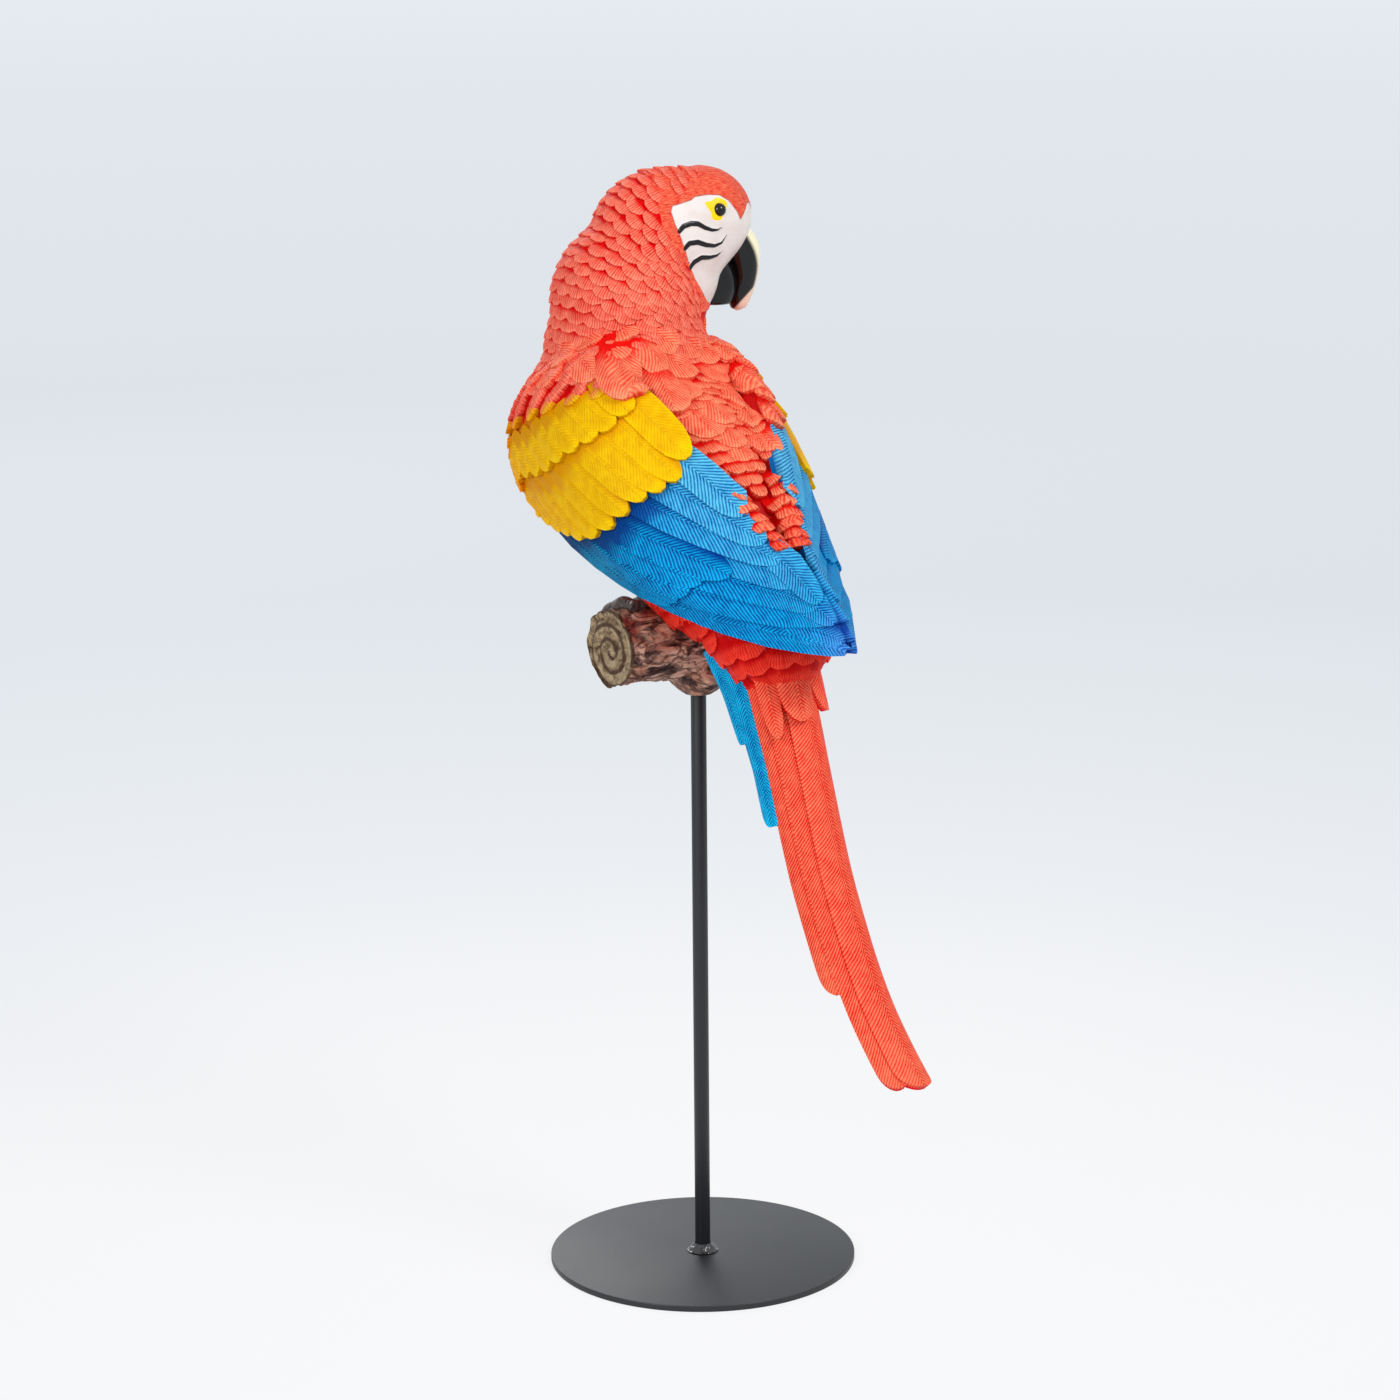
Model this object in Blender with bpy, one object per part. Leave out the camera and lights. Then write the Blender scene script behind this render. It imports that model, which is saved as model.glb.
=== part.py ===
"""Parrot figurine on a steel stand.

One resin casting holds the perched macaw and its piece of branch. A thin rod carries it,
and the rod is welded to a round plate. Lengths are in metres, +Z is up, the bird faces -Y
and its left side is +X. The origin is the middle of the plate's underside.
"""

import math

import bmesh
import bpy
from mathutils import Matrix, Vector, noise
from mathutils.bvhtree import BVHTree

MM = 0.001
UP = Vector((0, 0, 1))
LEFT = Vector((1, 0, 0))

# Stand
PLATE_DIAMETER = 0.100
PLATE_THICKNESS = 0.002
PLATE_EDGE_ROUND = 0.0003
ROD_DIAMETER = 0.005
ROD_IN_SOCKET = 0.014
WELD_LEG = 0.0030
FIT_GAP = 0.0003

# Branch
BRANCH_DIAMETER = 0.0245
BRANCH_LENGTH = 0.070
BRANCH_HEIGHT = 0.2085
BARK_DEPTH = 0.0008
BOSS_DIAMETER = 0.0092
BOSS_FLARE = 2.1
BOSS_DROP = 0.018
GROWTH_RING_DEPTH = 0.0010

# Casting
CARRIER_VOXEL = 0.0015
CARRIER_SMOOTHING = 10
CASTING_VOXEL = 0.0008
CASTING_TRIANGLES = 11600
HEAD_TURN = math.radians(105.0)
WING_THICKNESS = 0.005
EYE_DIAMETER = 0.0042
TAIL_FEATHER_THICKNESS = 0.0026


def bird(x, y, z):
    """A point of the bird in millimetres, z measured up from the branch's axis."""
    return Vector((x, y, z)) * MM + UP * BRANCH_HEIGHT


def material(name, colour, roughness, metallic=0.0):
    made = bpy.data.materials.new(name)
    made.use_nodes = True
    shader = made.node_tree.nodes["Principled BSDF"]
    shader.inputs["Base Color"].default_value = (*colour, 1.0)
    shader.inputs["Roughness"].default_value = roughness
    shader.inputs["Metallic"].default_value = metallic
    return made


def place(name, bm, finish):
    """Makes a named object of a bmesh and frees the bmesh."""
    mesh = bpy.data.meshes.new(name)
    bm.to_mesh(mesh)
    bm.free()
    mesh.materials.append(finish)
    made = bpy.data.objects.new(name, mesh)
    bpy.context.scene.collection.objects.link(made)
    return made


def curve_point(points, t):
    """Point on the Catmull-Rom curve through the points, t from 0 to 1."""
    last = len(points) - 1
    at = min(max(t, 0.0), 1.0) * last
    k = min(int(at), last - 1)
    f = at - k
    p1, p2 = points[k], points[k + 1]
    p0 = points[k - 1] if k else p1 * 2 - p2
    p3 = points[k + 2] if k + 2 <= last else p2 * 2 - p1
    return 0.5 * (p1 * 2 + (p2 - p0) * f + (p0 * 2 - p1 * 5 + p2 * 4 - p3) * f * f
                  + (p1 * 3 - p0 - p2 * 3 + p3) * f ** 3)


for old in list(bpy.data.objects):
    bpy.data.objects.remove(old)

black_paint = material("black_paint", (0.022, 0.022, 0.024), 0.45)
painted_resin = material("painted_resin", (0.75, 0.06, 0.03), 0.5)


# Base plate: a disc of sheet steel with its edge just broken
disc = bmesh.new()
bmesh.ops.create_cone(
    disc, cap_ends=True, segments=96, radius1=PLATE_DIAMETER / 2, radius2=PLATE_DIAMETER / 2,
    depth=PLATE_THICKNESS, matrix=Matrix.Translation(UP * PLATE_THICKNESS / 2),
)
base_plate = place("base_plate", disc, black_paint)
edge_round = base_plate.modifiers.new("edge_round", "BEVEL")
edge_round.width = PLATE_EDGE_ROUND
edge_round.segments = 2
edge_round.limit_method = "ANGLE"

# Rod: stands on the plate and ends in the socket in the branch
rod_bottom = PLATE_THICKNESS + FIT_GAP
boss_bottom = BRANCH_HEIGHT - BOSS_DROP
rod_top = boss_bottom + ROD_IN_SOCKET
rod = bmesh.new()
bmesh.ops.create_cone(
    rod, cap_ends=True, segments=32, radius1=ROD_DIAMETER / 2, radius2=ROD_DIAMETER / 2,
    depth=rod_top - rod_bottom, matrix=Matrix.Translation(UP * (rod_top + rod_bottom) / 2),
)
place("stand_rod", rod, black_paint)

# Weld bead: a fillet turned round the rod's foot
weld = bmesh.new()
weld_inner = ROD_DIAMETER / 2 + FIT_GAP
weld_bottom = PLATE_THICKNESS + FIT_GAP
profile = [
    weld.verts.new((weld_inner, 0, weld_bottom + WELD_LEG)),
    weld.verts.new((weld_inner + WELD_LEG * 0.25, 0, weld_bottom + WELD_LEG * 0.85)),
    weld.verts.new((weld_inner + WELD_LEG * 0.75, 0, weld_bottom + WELD_LEG * 0.35)),
    weld.verts.new((weld_inner + WELD_LEG, 0, weld_bottom)),
    weld.verts.new((weld_inner, 0, weld_bottom)),
]
outline = [weld.edges.new((a, b)) for a, b in zip(profile, profile[1:] + profile[:1])]
bmesh.ops.spin(
    weld, geom=outline, cent=(0, 0, 0), axis=(0, 0, 1), angle=math.tau, steps=32, use_merge=True,
)
bmesh.ops.recalc_face_normals(weld, faces=weld.faces)
place("weld_bead", weld, black_paint)


# Directions of the head, which is turned over the bird's right shoulder
HEAD_CENTRE = bird(-19.3, -31.7, 124.5)
HEAD_FRONT = Vector((-math.sin(HEAD_TURN), -math.cos(HEAD_TURN), 0))
HEAD_RIGHT = HEAD_FRONT.cross(UP)


def head_point(forward, right, up):
    """A point given in millimetres along the head's own directions, from its centre."""
    return HEAD_CENTRE + (HEAD_FRONT * forward + HEAD_RIGHT * right + UP * up) * MM


def ellipsoid(bm, centre, semi_axes, turn):
    """An ellipsoid with its semi-axes in millimetres, turned by a matrix."""
    size = Matrix.Diagonal((*[a * MM for a in semi_axes], 1.0))
    bmesh.ops.create_uvsphere(
        bm, u_segments=32, v_segments=16, radius=1.0,
        matrix=Matrix.Translation(centre) @ turn.to_4x4() @ size,
    )


def body_ellipsoid(bm, centre, semi_axes, slope=0.0):
    """An ellipsoid across the body: half width, half length down the slope, half thickness."""
    ellipsoid(bm, centre, semi_axes, Matrix.Rotation(math.radians(-slope), 3, "X"))


def head_ellipsoid(bm, forward, up, semi_axes, slope=0.0):
    """An ellipsoid on the head's middle plane: half length, half width, half height."""
    axes = Matrix((HEAD_FRONT, -HEAD_RIGHT, UP)).transposed()
    ellipsoid(bm, head_point(forward, 0, up), semi_axes, axes @ Matrix.Rotation(math.radians(slope), 3, "Y"))


# Left wing: four lines of points from the shoulder to the tip, outer edge first
WING_LINES = [
    [bird(32, -48, 44.5), bird(35.5, -20, 33.5), bird(33.5, 14.5, 22.5), bird(21.5, 47, 13.5), bird(1.5, 76, 5.5)],
    [bird(37, -48.5, 58.5), bird(39, -19, 45.5), bird(37, 14, 31.5), bird(22, 45.5, 20.5), bird(1.5, 76.5, 8.5)],
    [bird(36, -43, 76.5), bird(39, -14, 67.5), bird(31, 16, 51), bird(14, 44.5, 28), bird(1, 75.5, 11.5)],
    [bird(23, -35, 88.5), bird(25, -8, 85.5), bird(17, 17, 67.5), bird(5, 45, 39.5), bird(1, 74, 14.5)],
]


def wing_point(u, v, side=1):
    """Point on a wing's outside: u from shoulder to tip, v from outer edge to inner."""
    point = curve_point([curve_point(line, u) for line in WING_LINES], v)
    return Vector((point.x * side, point.y, point.z))


def wing_shell(bm, side):
    grid = bmesh.ops.create_grid(bm, x_segments=24, y_segments=12, size=1.0)
    for vert in grid["verts"]:
        vert.co = wing_point((vert.co.x + 1) / 2, (vert.co.y + 1) / 2, side)
    faces = list({face for vert in grid["verts"] for face in vert.link_faces})
    bmesh.ops.recalc_face_normals(bm, faces=faces)
    if sum(face.normal.x * face.calc_area() for face in faces) * side < 0:
        bmesh.ops.reverse_faces(bm, faces=faces)
    bmesh.ops.solidify(bm, geom=faces, thickness=WING_THICKNESS)


# Smooth form of the bird under its feathers
form = bmesh.new()
body_ellipsoid(form, bird(0, -8, 47.5), (35, 64, 29), 41)
body_ellipsoid(form, bird(0, -37, 64.5), (34, 34, 33))
body_ellipsoid(form, bird(0, -25, 54.5), (33, 46, 31), 41)
body_ellipsoid(form, bird(0, 33, 15.5), (24, 27, 17), 50)
body_ellipsoid(form, bird(0, 38.5, -8.5), (14, 12, 26), -15)
body_ellipsoid(form, bird(0, -38, 87.5), (25, 26, 26))
body_ellipsoid(form, bird(0, -37, 103.5), (23.5, 24, 26))
head_ellipsoid(form, -15.5, -6, (17.5, 19.5, 22.5))
head_ellipsoid(form, -6, 0.8, (25, 17, 21.6))
head_ellipsoid(form, 5.5, 5.2, (17.2, 14, 17))
head_ellipsoid(form, -3, -13, (14, 14, 15))
head_ellipsoid(form, -5, -24.5, (12, 13, 9))
body_ellipsoid(form, bird(-18, -29, 76), (20, 19, 16))
wing_shell(form, 1)
wing_shell(form, -1)
carrier = place("bird_form", form, painted_resin)
carrier.hide_render = True
carrier.display_type = "WIRE"
fuse = carrier.modifiers.new("fuse", "REMESH")
fuse.mode = "VOXEL"
fuse.voxel_size = CARRIER_VOXEL
soften = carrier.modifiers.new("soften", "SMOOTH")
soften.iterations = CARRIER_SMOOTHING
depsgraph = bpy.context.evaluated_depsgraph_get()
carrier_skin = BVHTree.FromObject(carrier, depsgraph)


def snap(point):
    """Nearest point of the bird's form and the outward direction there."""
    location, normal, _, _ = carrier_skin.find_nearest(point)
    return location, normal


# Feather outlines: pairs of share of the length and share of the half width
SCALE_SHAPE = [(0.0, 0.62), (0.35, 0.9), (0.65, 1.0), (0.87, 0.8), (1.0, 0.35)]
QUILL_SHAPE = [(0.0, 0.7), (0.3, 0.95), (0.6, 1.0), (0.8, 0.95), (0.93, 0.72), (1.0, 0.3)]
FEATHER_CAMBER = 0.35
ROOT_SINK = 0.0006
PLATE_UNDER = 0.0012


def feather_plate(bm, shape, height, surface):
    """One closed plate: surface(share of length, offset in half widths) gives a point and its normal."""
    rows = len(shape) - 1
    grid = bmesh.ops.create_grid(bm, x_segments=2, y_segments=rows, size=1.0)
    outward = Vector()
    for vert in grid["verts"]:
        along, share = shape[round((vert.co.y + 1) / 2 * rows)]
        aside = vert.co.x * share
        skin, normal = surface(along, aside)
        rise = height * (along - FEATHER_CAMBER * aside * aside) - ROOT_SINK * (1 - along)
        vert.co = skin + normal * rise
        outward += normal
    faces = list({face for vert in grid["verts"] for face in vert.link_faces})
    for face in faces:
        face.normal_update()
    if sum((face.normal for face in faces), Vector()).dot(outward) < 0:
        bmesh.ops.reverse_faces(bm, faces=faces)
    bmesh.ops.solidify(bm, geom=faces, thickness=height + PLATE_UNDER)


def form_feather(bm, root, tip, width, height):
    """A scale feather laid on the bird's form between two points."""
    across = (tip - root).cross(snap((root + tip) / 2)[1]).normalized() * width / 2
    feather_plate(bm, SCALE_SHAPE, height, lambda along, aside: snap(root.lerp(tip, along) + across * aside))


def ring_row(bm, centre, down, start, count, phase, length, width, height, keep):
    """A row of feathers round the place where a plane cuts the form: their tips point down."""
    side = down.cross(start).normalized()
    for k in range(count):
        angle = math.tau * (k + phase) / count
        hit, normal, _, _ = carrier_skin.ray_cast(centre, start * math.cos(angle) + side * math.sin(angle))
        if hit is None or not keep(hit):
            continue
        flow = (down - normal * down.dot(normal)).normalized()
        form_feather(bm, hit - flow * length / 2, hit + flow * length / 2, width, height)


plumage = bmesh.new()

# Head and neck: rows fan out about a crosswise line just in front of the throat
FAN_PIVOT = head_point(10, 0, -33)
FAN_ROWS = 18
FAN_FIRST = math.radians(112)
FAN_LAST = math.radians(203)
FAN_REACH = 0.034
NECK_SCALE_WIDTH = 0.0076
NECK_SCALE_LENGTH = 0.0085
NECK_SCALE_HEIGHT = 0.0014


def scaled_head(point):
    """True where the head has scales, not the bare face or the fine forehead."""
    offset = (point - HEAD_CENTRE) / MM
    forward, right, up = offset.dot(HEAD_FRONT), offset.dot(HEAD_RIGHT), offset.dot(UP)
    bare_edge = -13.0 + 0.42 * max(0.0, 8.0 - up)
    return forward < (6.0 if up > 13.0 and abs(right) < 14 else bare_edge)


for row in reversed(range(FAN_ROWS)):
    lean = FAN_FIRST + (FAN_LAST - FAN_FIRST) * row / (FAN_ROWS - 1)
    reach = HEAD_FRONT * math.cos(lean) + UP * math.sin(lean)
    down = HEAD_FRONT * -math.sin(lean) + UP * math.cos(lean)
    growth = 1 + 0.08 * max(0, row - 12)
    ring_row(
        plumage, FAN_PIVOT + reach * FAN_REACH, down, reach, 22, row % 2 / 2,
        NECK_SCALE_LENGTH * growth, NECK_SCALE_WIDTH * growth, NECK_SCALE_HEIGHT, scaled_head,
    )

# Breast and belly: rows down the front, between the wings
BELLY_ROWS = 12
BELLY_PATH = [bird(0, -38, 91.5), bird(0, -30, 66.5), bird(0, -8, 43.5), bird(0, 15, 26.5), bird(0, 32, 9.5)]
RUMP_ROWS = 6
RUMP_DOWN = Vector((0, 0.42, -0.907))


def under_body(point):
    """True on the front and underside, below the mantle."""
    return point.y + 0.9 * (point.z - BRANCH_HEIGHT - 0.047) < -0.006


for row in range(BELLY_ROWS):
    share = row / (BELLY_ROWS - 1)
    down = (curve_point(BELLY_PATH, share + 0.05) - curve_point(BELLY_PATH, share - 0.05)).normalized()
    ring_row(
        plumage, curve_point(BELLY_PATH, share), down, LEFT.cross(down), 22, row % 2 / 2,
        0.0125, 0.0115, 0.0014, under_body,
    )
for row in range(RUMP_ROWS):
    ring_row(
        plumage, bird(0, 26 + 2.2 * row, 19 - 5.2 * row), RUMP_DOWN, LEFT.cross(RUMP_DOWN), 18, row % 2 / 2,
        0.0115, 0.0104, 0.0014, under_body,
    )


def wing_surface(u, v, side):
    """Point and outward direction on a wing at (u, v), with the length of a step in v."""
    step = 0.01
    u = min(max(u, step), 1 - step)
    v = min(max(v, step), 1 - step)
    along = wing_point(u + step, v) - wing_point(u - step, v)
    up = wing_point(u, v + step) - wing_point(u, v - step)
    normal = along.cross(up).normalized()
    return wing_point(u, v, side), Vector((normal.x * side, normal.y, normal.z)), up.length / (2 * step)


def wing_feather(bm, side, root, tip, width, height, lift, shape):
    """A feather on a wing between two (u, v) places, laid on the rows lifted below it."""
    def surface(along, aside):
        spot = root.lerp(tip, along)
        step_length = wing_surface(spot.x, spot.y, side)[2]
        point, normal, _ = wing_surface(spot.x, spot.y + aside * width / 2 / step_length, side)
        return point + normal * lift, normal
    feather_plate(bm, shape, height, surface)


# Wing rows, longest under: roots, tips, count, width, height, lift, outline
WING_ROWS = [
    ([(0.55, 0.10), (0.6, 0.5), (0.62, 0.95)], [(0.86, 0.08), (1.0, 0.45), (0.93, 0.9)],
     5, 0.0100, 0.0010, 0.0, QUILL_SHAPE),
    ([(0.30, 0.10), (0.4, 0.5), (0.5, 0.97)], [(0.64, 0.08), (0.84, 0.5), (0.78, 0.97)],
     7, 0.0110, 0.0012, 0.0002, QUILL_SHAPE),
    ([(0.16, 0.10), (0.28, 0.5), (0.4, 0.97)], [(0.45, 0.08), (0.70, 0.5), (0.66, 0.97)],
     7, 0.0120, 0.0013, 0.0005, QUILL_SHAPE),
    ([(0.04, 0.06), (0.16, 0.5), (0.24, 0.97)], [(0.22, 0.08), (0.45, 0.5), (0.53, 0.93)],
     9, 0.0105, 0.0014, 0.0009, QUILL_SHAPE),
    ([(0.0, 0.10), (0.06, 0.5), (0.14, 0.97)], [(0.12, 0.14), (0.26, 0.5), (0.35, 0.93)],
     9, 0.0085, 0.0012, 0.0013, SCALE_SHAPE),
    ([(-0.03, 0.12), (0.0, 0.5), (0.12, 0.97)], [(0.05, 0.14), (0.13, 0.52), (0.28, 0.93)],
     10, 0.0075, 0.0010, 0.0017, SCALE_SHAPE),
    ([(-0.06, 0.2), (-0.04, 0.5), (0.04, 0.97)], [(0.0, 0.22), (0.06, 0.6), (0.19, 0.93)],
     9, 0.0075, 0.0010, 0.0017, SCALE_SHAPE),
    ([(-0.08, 0.45), (-0.04, 0.97)], [(0.0, 0.5), (0.10, 0.93)], 5, 0.0075, 0.0010, 0.0017, SCALE_SHAPE),
]
for roots, tips, count, width, height, lift, shape in WING_ROWS:
    for k in range(count):
        root = curve_point([Vector((*pair, 0)) for pair in roots], k / (count - 1))
        tip = curve_point([Vector((*pair, 0)) for pair in tips], k / (count - 1))
        wing_feather(plumage, 1, root, tip, width, height, lift, shape)
        wing_feather(plumage, -1, root, tip, width, height, lift, shape)

# Mantle: rows across the back, narrowing between the wings to a point
MANTLE_EDGE = [bird(31, -36, 82.5), bird(27, -12, 80.5), bird(18, 15, 66.5), bird(9, 36, 49.5), bird(2.5, 51, 36.5)]
MANTLE_SPINE = [bird(0, -6, 89.5), bird(0, 6, 78.5), bird(0, 19, 66.5), bird(0, 36, 51.5), bird(0, 51, 37.5)]
MANTLE_ROWS = 9


def mantle_point(across, down):
    """Point on the back: across -1 at the right wing to 1 at the left, down 0 to 1."""
    edge = curve_point(MANTLE_EDGE, down)
    edge.x *= math.copysign(1.0, across)
    return snap(curve_point(MANTLE_SPINE, down).lerp(edge, abs(across)))[0]


for row in reversed(range(MANTLE_ROWS)):
    down = row / (MANTLE_ROWS - 0.5)
    width = 0.0115 - 0.0055 * down
    count = max(1, round(2.3 * curve_point(MANTLE_EDGE, down).x / width))
    for k in range(count):
        across = 0.0 if count == 1 else -1 + 2 * (k + 0.5 * (row % 2)) / (count - 0.5)
        root = mantle_point(across, down)
        form_feather(plumage, root, mantle_point(across * 0.94, down + 0.24), width, 0.0013)

def skin_rings(bm, rings):
    """Closed skin over rings of points, with both ends filled."""
    loops = []
    for points in rings:
        ring = bmesh.ops.create_circle(bm, segments=len(points), radius=1.0)
        for vert, point in zip(ring["verts"], points):
            vert.co = point
        loops.append(list({edge for vert in ring["verts"] for edge in vert.link_edges}))
    for near, far in zip(loops, loops[1:]):
        bmesh.ops.bridge_loops(bm, edges=near + far)
    bmesh.ops.holes_fill(bm, edges=loops[0] + loops[-1], sides=len(rings[0]))


# Tail: long quills laid like roof tiles on an arched line that sweeps back
TAIL_LINE = [
    bird(0, 42, 11.5), bird(0, 48.5, -0.5), bird(0, 53, -12.7), bird(0, 57.5, -25.2), bird(0, 61.7, -37.7), bird(0, 66, -50.5),
    bird(0, 70.6, -63), bird(0, 76.2, -75.2), bird(0, 82.8, -88), bird(0, 90.6, -100.2), bird(0, 100, -111.2),
    bird(0, 110.5, -121.7),
]
TAIL_ARCH = 0.016
TAIL_ARCH_GROWTH = 0.013
# Place of the tip (negative for the right side), offsets of root and tip, half width, depth under the top
TAIL_QUILLS = [
    (1.0, -2.8, -2.8, 8.0, 0.0),
    (0.985, 6.0, 4.5, 6.0, 1.5),
    (0.77, 12.5, 11.0, 5.8, 2.4),
    (-0.77, 12.5, 11.0, 5.8, 2.4),
    (0.42, 20.5, 19.5, 6.0, 3.2),
    (-0.42, 20.5, 19.5, 6.0, 3.2),
    (0.235, 29.0, 26.0, 5.6, 3.6),
    (-0.235, 29.0, 26.0, 5.6, 3.6),
]


def tail_surface(down, aside):
    """Point and outward direction on the tail's arch: down 0 to 1, aside in metres."""
    line = curve_point(TAIL_LINE, down)
    middle = min(max(down, 0.02), 0.98)
    flow = (curve_point(TAIL_LINE, middle + 0.02) - curve_point(TAIL_LINE, middle - 0.02)).normalized()
    back = LEFT.cross(flow)
    arch = TAIL_ARCH + TAIL_ARCH_GROWTH * max(0.0, 0.3 - down)
    outward = back * math.cos(aside / arch) + LEFT * math.sin(aside / arch)
    return line + (outward - back) * arch, outward


def tail_quill(bm, end, root_offset, tip_offset, half_width, depth):
    """A tail quill with parallel edges and a round tip: a negative end puts it on the right side."""
    steps = 14
    side = math.copysign(1, end)
    end = abs(end)
    grid = bmesh.ops.create_grid(bm, x_segments=4, y_segments=steps, size=1.0)
    outward = Vector()
    for vert in grid["verts"]:
        along = 1 - (1 - (vert.co.y + 1) / 2) ** 1.6
        to_tip = (1 - along) * end * 180 / 9
        round_off = math.sqrt(1 - max(0.0, 0.97 - min(to_tip, 1.0)) ** 2)
        aside = side * (root_offset + (tip_offset - root_offset) * along + vert.co.x * half_width * round_off)
        skin, normal = tail_surface(along * end, aside * MM)
        droop = abs(vert.co.x) ** 1.6 * 0.0010
        vert.co = skin - normal * (depth * MM + droop)
        outward += normal
    faces = list({face for vert in grid["verts"] for face in vert.link_faces})
    for face in faces:
        face.normal_update()
    if sum((face.normal for face in faces), Vector()).dot(outward) < 0:
        bmesh.ops.reverse_faces(bm, faces=faces)
    bmesh.ops.solidify(bm, geom=faces, thickness=TAIL_FEATHER_THICKNESS)


for quill in TAIL_QUILLS:
    tail_quill(plumage, *quill)

# Solid core that fills the tail's arch from below: place down the tail and half width over the arch
TAIL_CORE = [(0.0, 24), (0.12, 24), (0.22, 21.5), (0.30, 20), (0.41, 17.5), (0.48, 13.5), (0.60, 13), (0.74, 11.5),
             (0.80, 7.5), (0.90, 6.5), (0.97, 4)]
CORE_DEPTH = 0.0012
CORE_COLUMNS = 12
rings = []
for down, half_width in TAIL_CORE:
    arch = []
    for k in range(CORE_COLUMNS + 1):
        skin, normal = tail_surface(down, half_width * MM * (2 * k / CORE_COLUMNS - 1))
        arch.append(skin - normal * CORE_DEPTH)
    chord = [arch[-1].lerp(arch[0], k / CORE_COLUMNS) for k in range(1, CORE_COLUMNS)]
    rings.append(arch + chord)
skin_rings(plumage, rings)


# Beak: sections give forward and up of the middle, half width, half depth
UPPER_BEAK = [(14.0, 3, 6.5, 5.5), (16, 1, 7.0, 6.5), (18.5, -4, 7.0, 7.0), (20.3, -10, 6.2, 5.8),
              (20.6, -16, 5.0, 4.4), (19.6, -21, 3.8, 3.7), (18.6, -25.8, 2.3, 2.4)]
LOWER_BEAK = [(8.5, -7, 6.5, 6), (11.3, -13, 6.4, 6), (11.8, -18.8, 6.0, 6.0), (10.8, -23.6, 4.8, 5.4)]
BEAK_SEGMENTS = 20
for sections in (UPPER_BEAK, LOWER_BEAK):
    rings = []
    for forward, up, half_width, half_depth in sections:
        rings.append([
            head_point(forward + half_depth * math.cos(math.tau * k / BEAK_SEGMENTS),
                       half_width * math.sin(math.tau * k / BEAK_SEGMENTS), up)
            for k in range(BEAK_SEGMENTS)
        ])
    skin_rings(plumage, rings)

# Eyes: beads half sunk in the face
for side in (1, -1):
    bmesh.ops.create_uvsphere(
        plumage, u_segments=16, v_segments=8, radius=EYE_DIAMETER / 2,
        matrix=Matrix.Translation(snap(head_point(7.2, 13.6 * side, 8.5))[0]),
    )

# Branch: a knobbly drum with rings carved in its cut ends
BRANCH_SEGMENTS = 36
# Share of the radius and depth cut into the end
GROWTH_RINGS = [(0.2, 0.0), (0.32, 1.0), (0.44, 0.0), (0.56, 1.0), (0.7, 0.0), (0.82, 0.8), (0.97, 0.0)]
branch_rings = []
for end in (-1, 1):
    carved = [
        (end * (BRANCH_LENGTH / 2 - GROWTH_RING_DEPTH * depth), BRANCH_DIAMETER / 2 * share)
        for share, depth in GROWTH_RINGS
    ]
    branch_rings += carved if end < 0 else carved[::-1]
bark_rings = [(BRANCH_LENGTH * (k / 20 - 0.475), BRANCH_DIAMETER / 2) for k in range(20)]
branch_rings[len(GROWTH_RINGS):len(GROWTH_RINGS)] = bark_rings
rings = []
for along, radius in branch_rings:
    ring = []
    for k in range(BRANCH_SEGMENTS):
        angle = math.tau * k / BRANCH_SEGMENTS
        lump = noise.noise(Vector((along * 60, math.cos(angle) * 2.2, math.sin(angle) * 2.2)))
        reach = radius * (1 + lump * BARK_DEPTH * 4 / BRANCH_DIAMETER)
        ring.append(Vector((along, reach * math.cos(angle), BRANCH_HEIGHT + reach * math.sin(angle))))
    rings.append(ring)
skin_rings(plumage, rings)
bmesh.ops.create_cone(
    plumage, cap_ends=True, segments=32, radius1=BOSS_DIAMETER / 2, radius2=BOSS_DIAMETER / 2 * BOSS_FLARE,
    depth=BOSS_DROP, matrix=Matrix.Translation(UP * (BRANCH_HEIGHT + boss_bottom) / 2),
)

# Feet: two front toes each, hooked over the branch
TOE_RADIUS = 0.0026
TOE_PLACES = (13.0, 21.5)
for place_x in TOE_PLACES:
    for side in (1, -1):
        for knuckle in range(7):
            angle = math.radians(75 + 22 * knuckle)
            reach = BRANCH_DIAMETER / 2 + TOE_RADIUS * (0.7 - 0.06 * knuckle)
            size = TOE_RADIUS * (1.0 if knuckle < 5 else 0.75 - 0.3 * (knuckle - 5))
            spot = Vector((side * place_x * MM, reach * math.cos(angle), BRANCH_HEIGHT + reach * math.sin(angle)))
            bmesh.ops.create_uvsphere(
                plumage, u_segments=12, v_segments=8, radius=size * 1.15, matrix=Matrix.Translation(spot),
            )

# Everything cast in one piece: fused, softened and thinned to a light mesh
smooth_form = bpy.data.meshes.new_from_object(carrier.evaluated_get(depsgraph))
plumage.from_mesh(smooth_form)
bmesh.ops.recalc_face_normals(plumage, faces=plumage.faces)
parrot = place("parrot_casting", plumage, painted_resin)
fuse = parrot.modifiers.new("fuse", "REMESH")
fuse.mode = "VOXEL"
fuse.voxel_size = CASTING_VOXEL
soften = parrot.modifiers.new("soften", "SMOOTH")
soften.iterations = 2
depsgraph = bpy.context.evaluated_depsgraph_get()
fused = bpy.data.meshes.new_from_object(parrot.evaluated_get(depsgraph))
parrot.modifiers.clear()
parrot.data = fused
thin = parrot.modifiers.new("thin", "DECIMATE")
thin.ratio = CASTING_TRIANGLES / sum(len(face.vertices) - 2 for face in fused.polygons)

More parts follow.
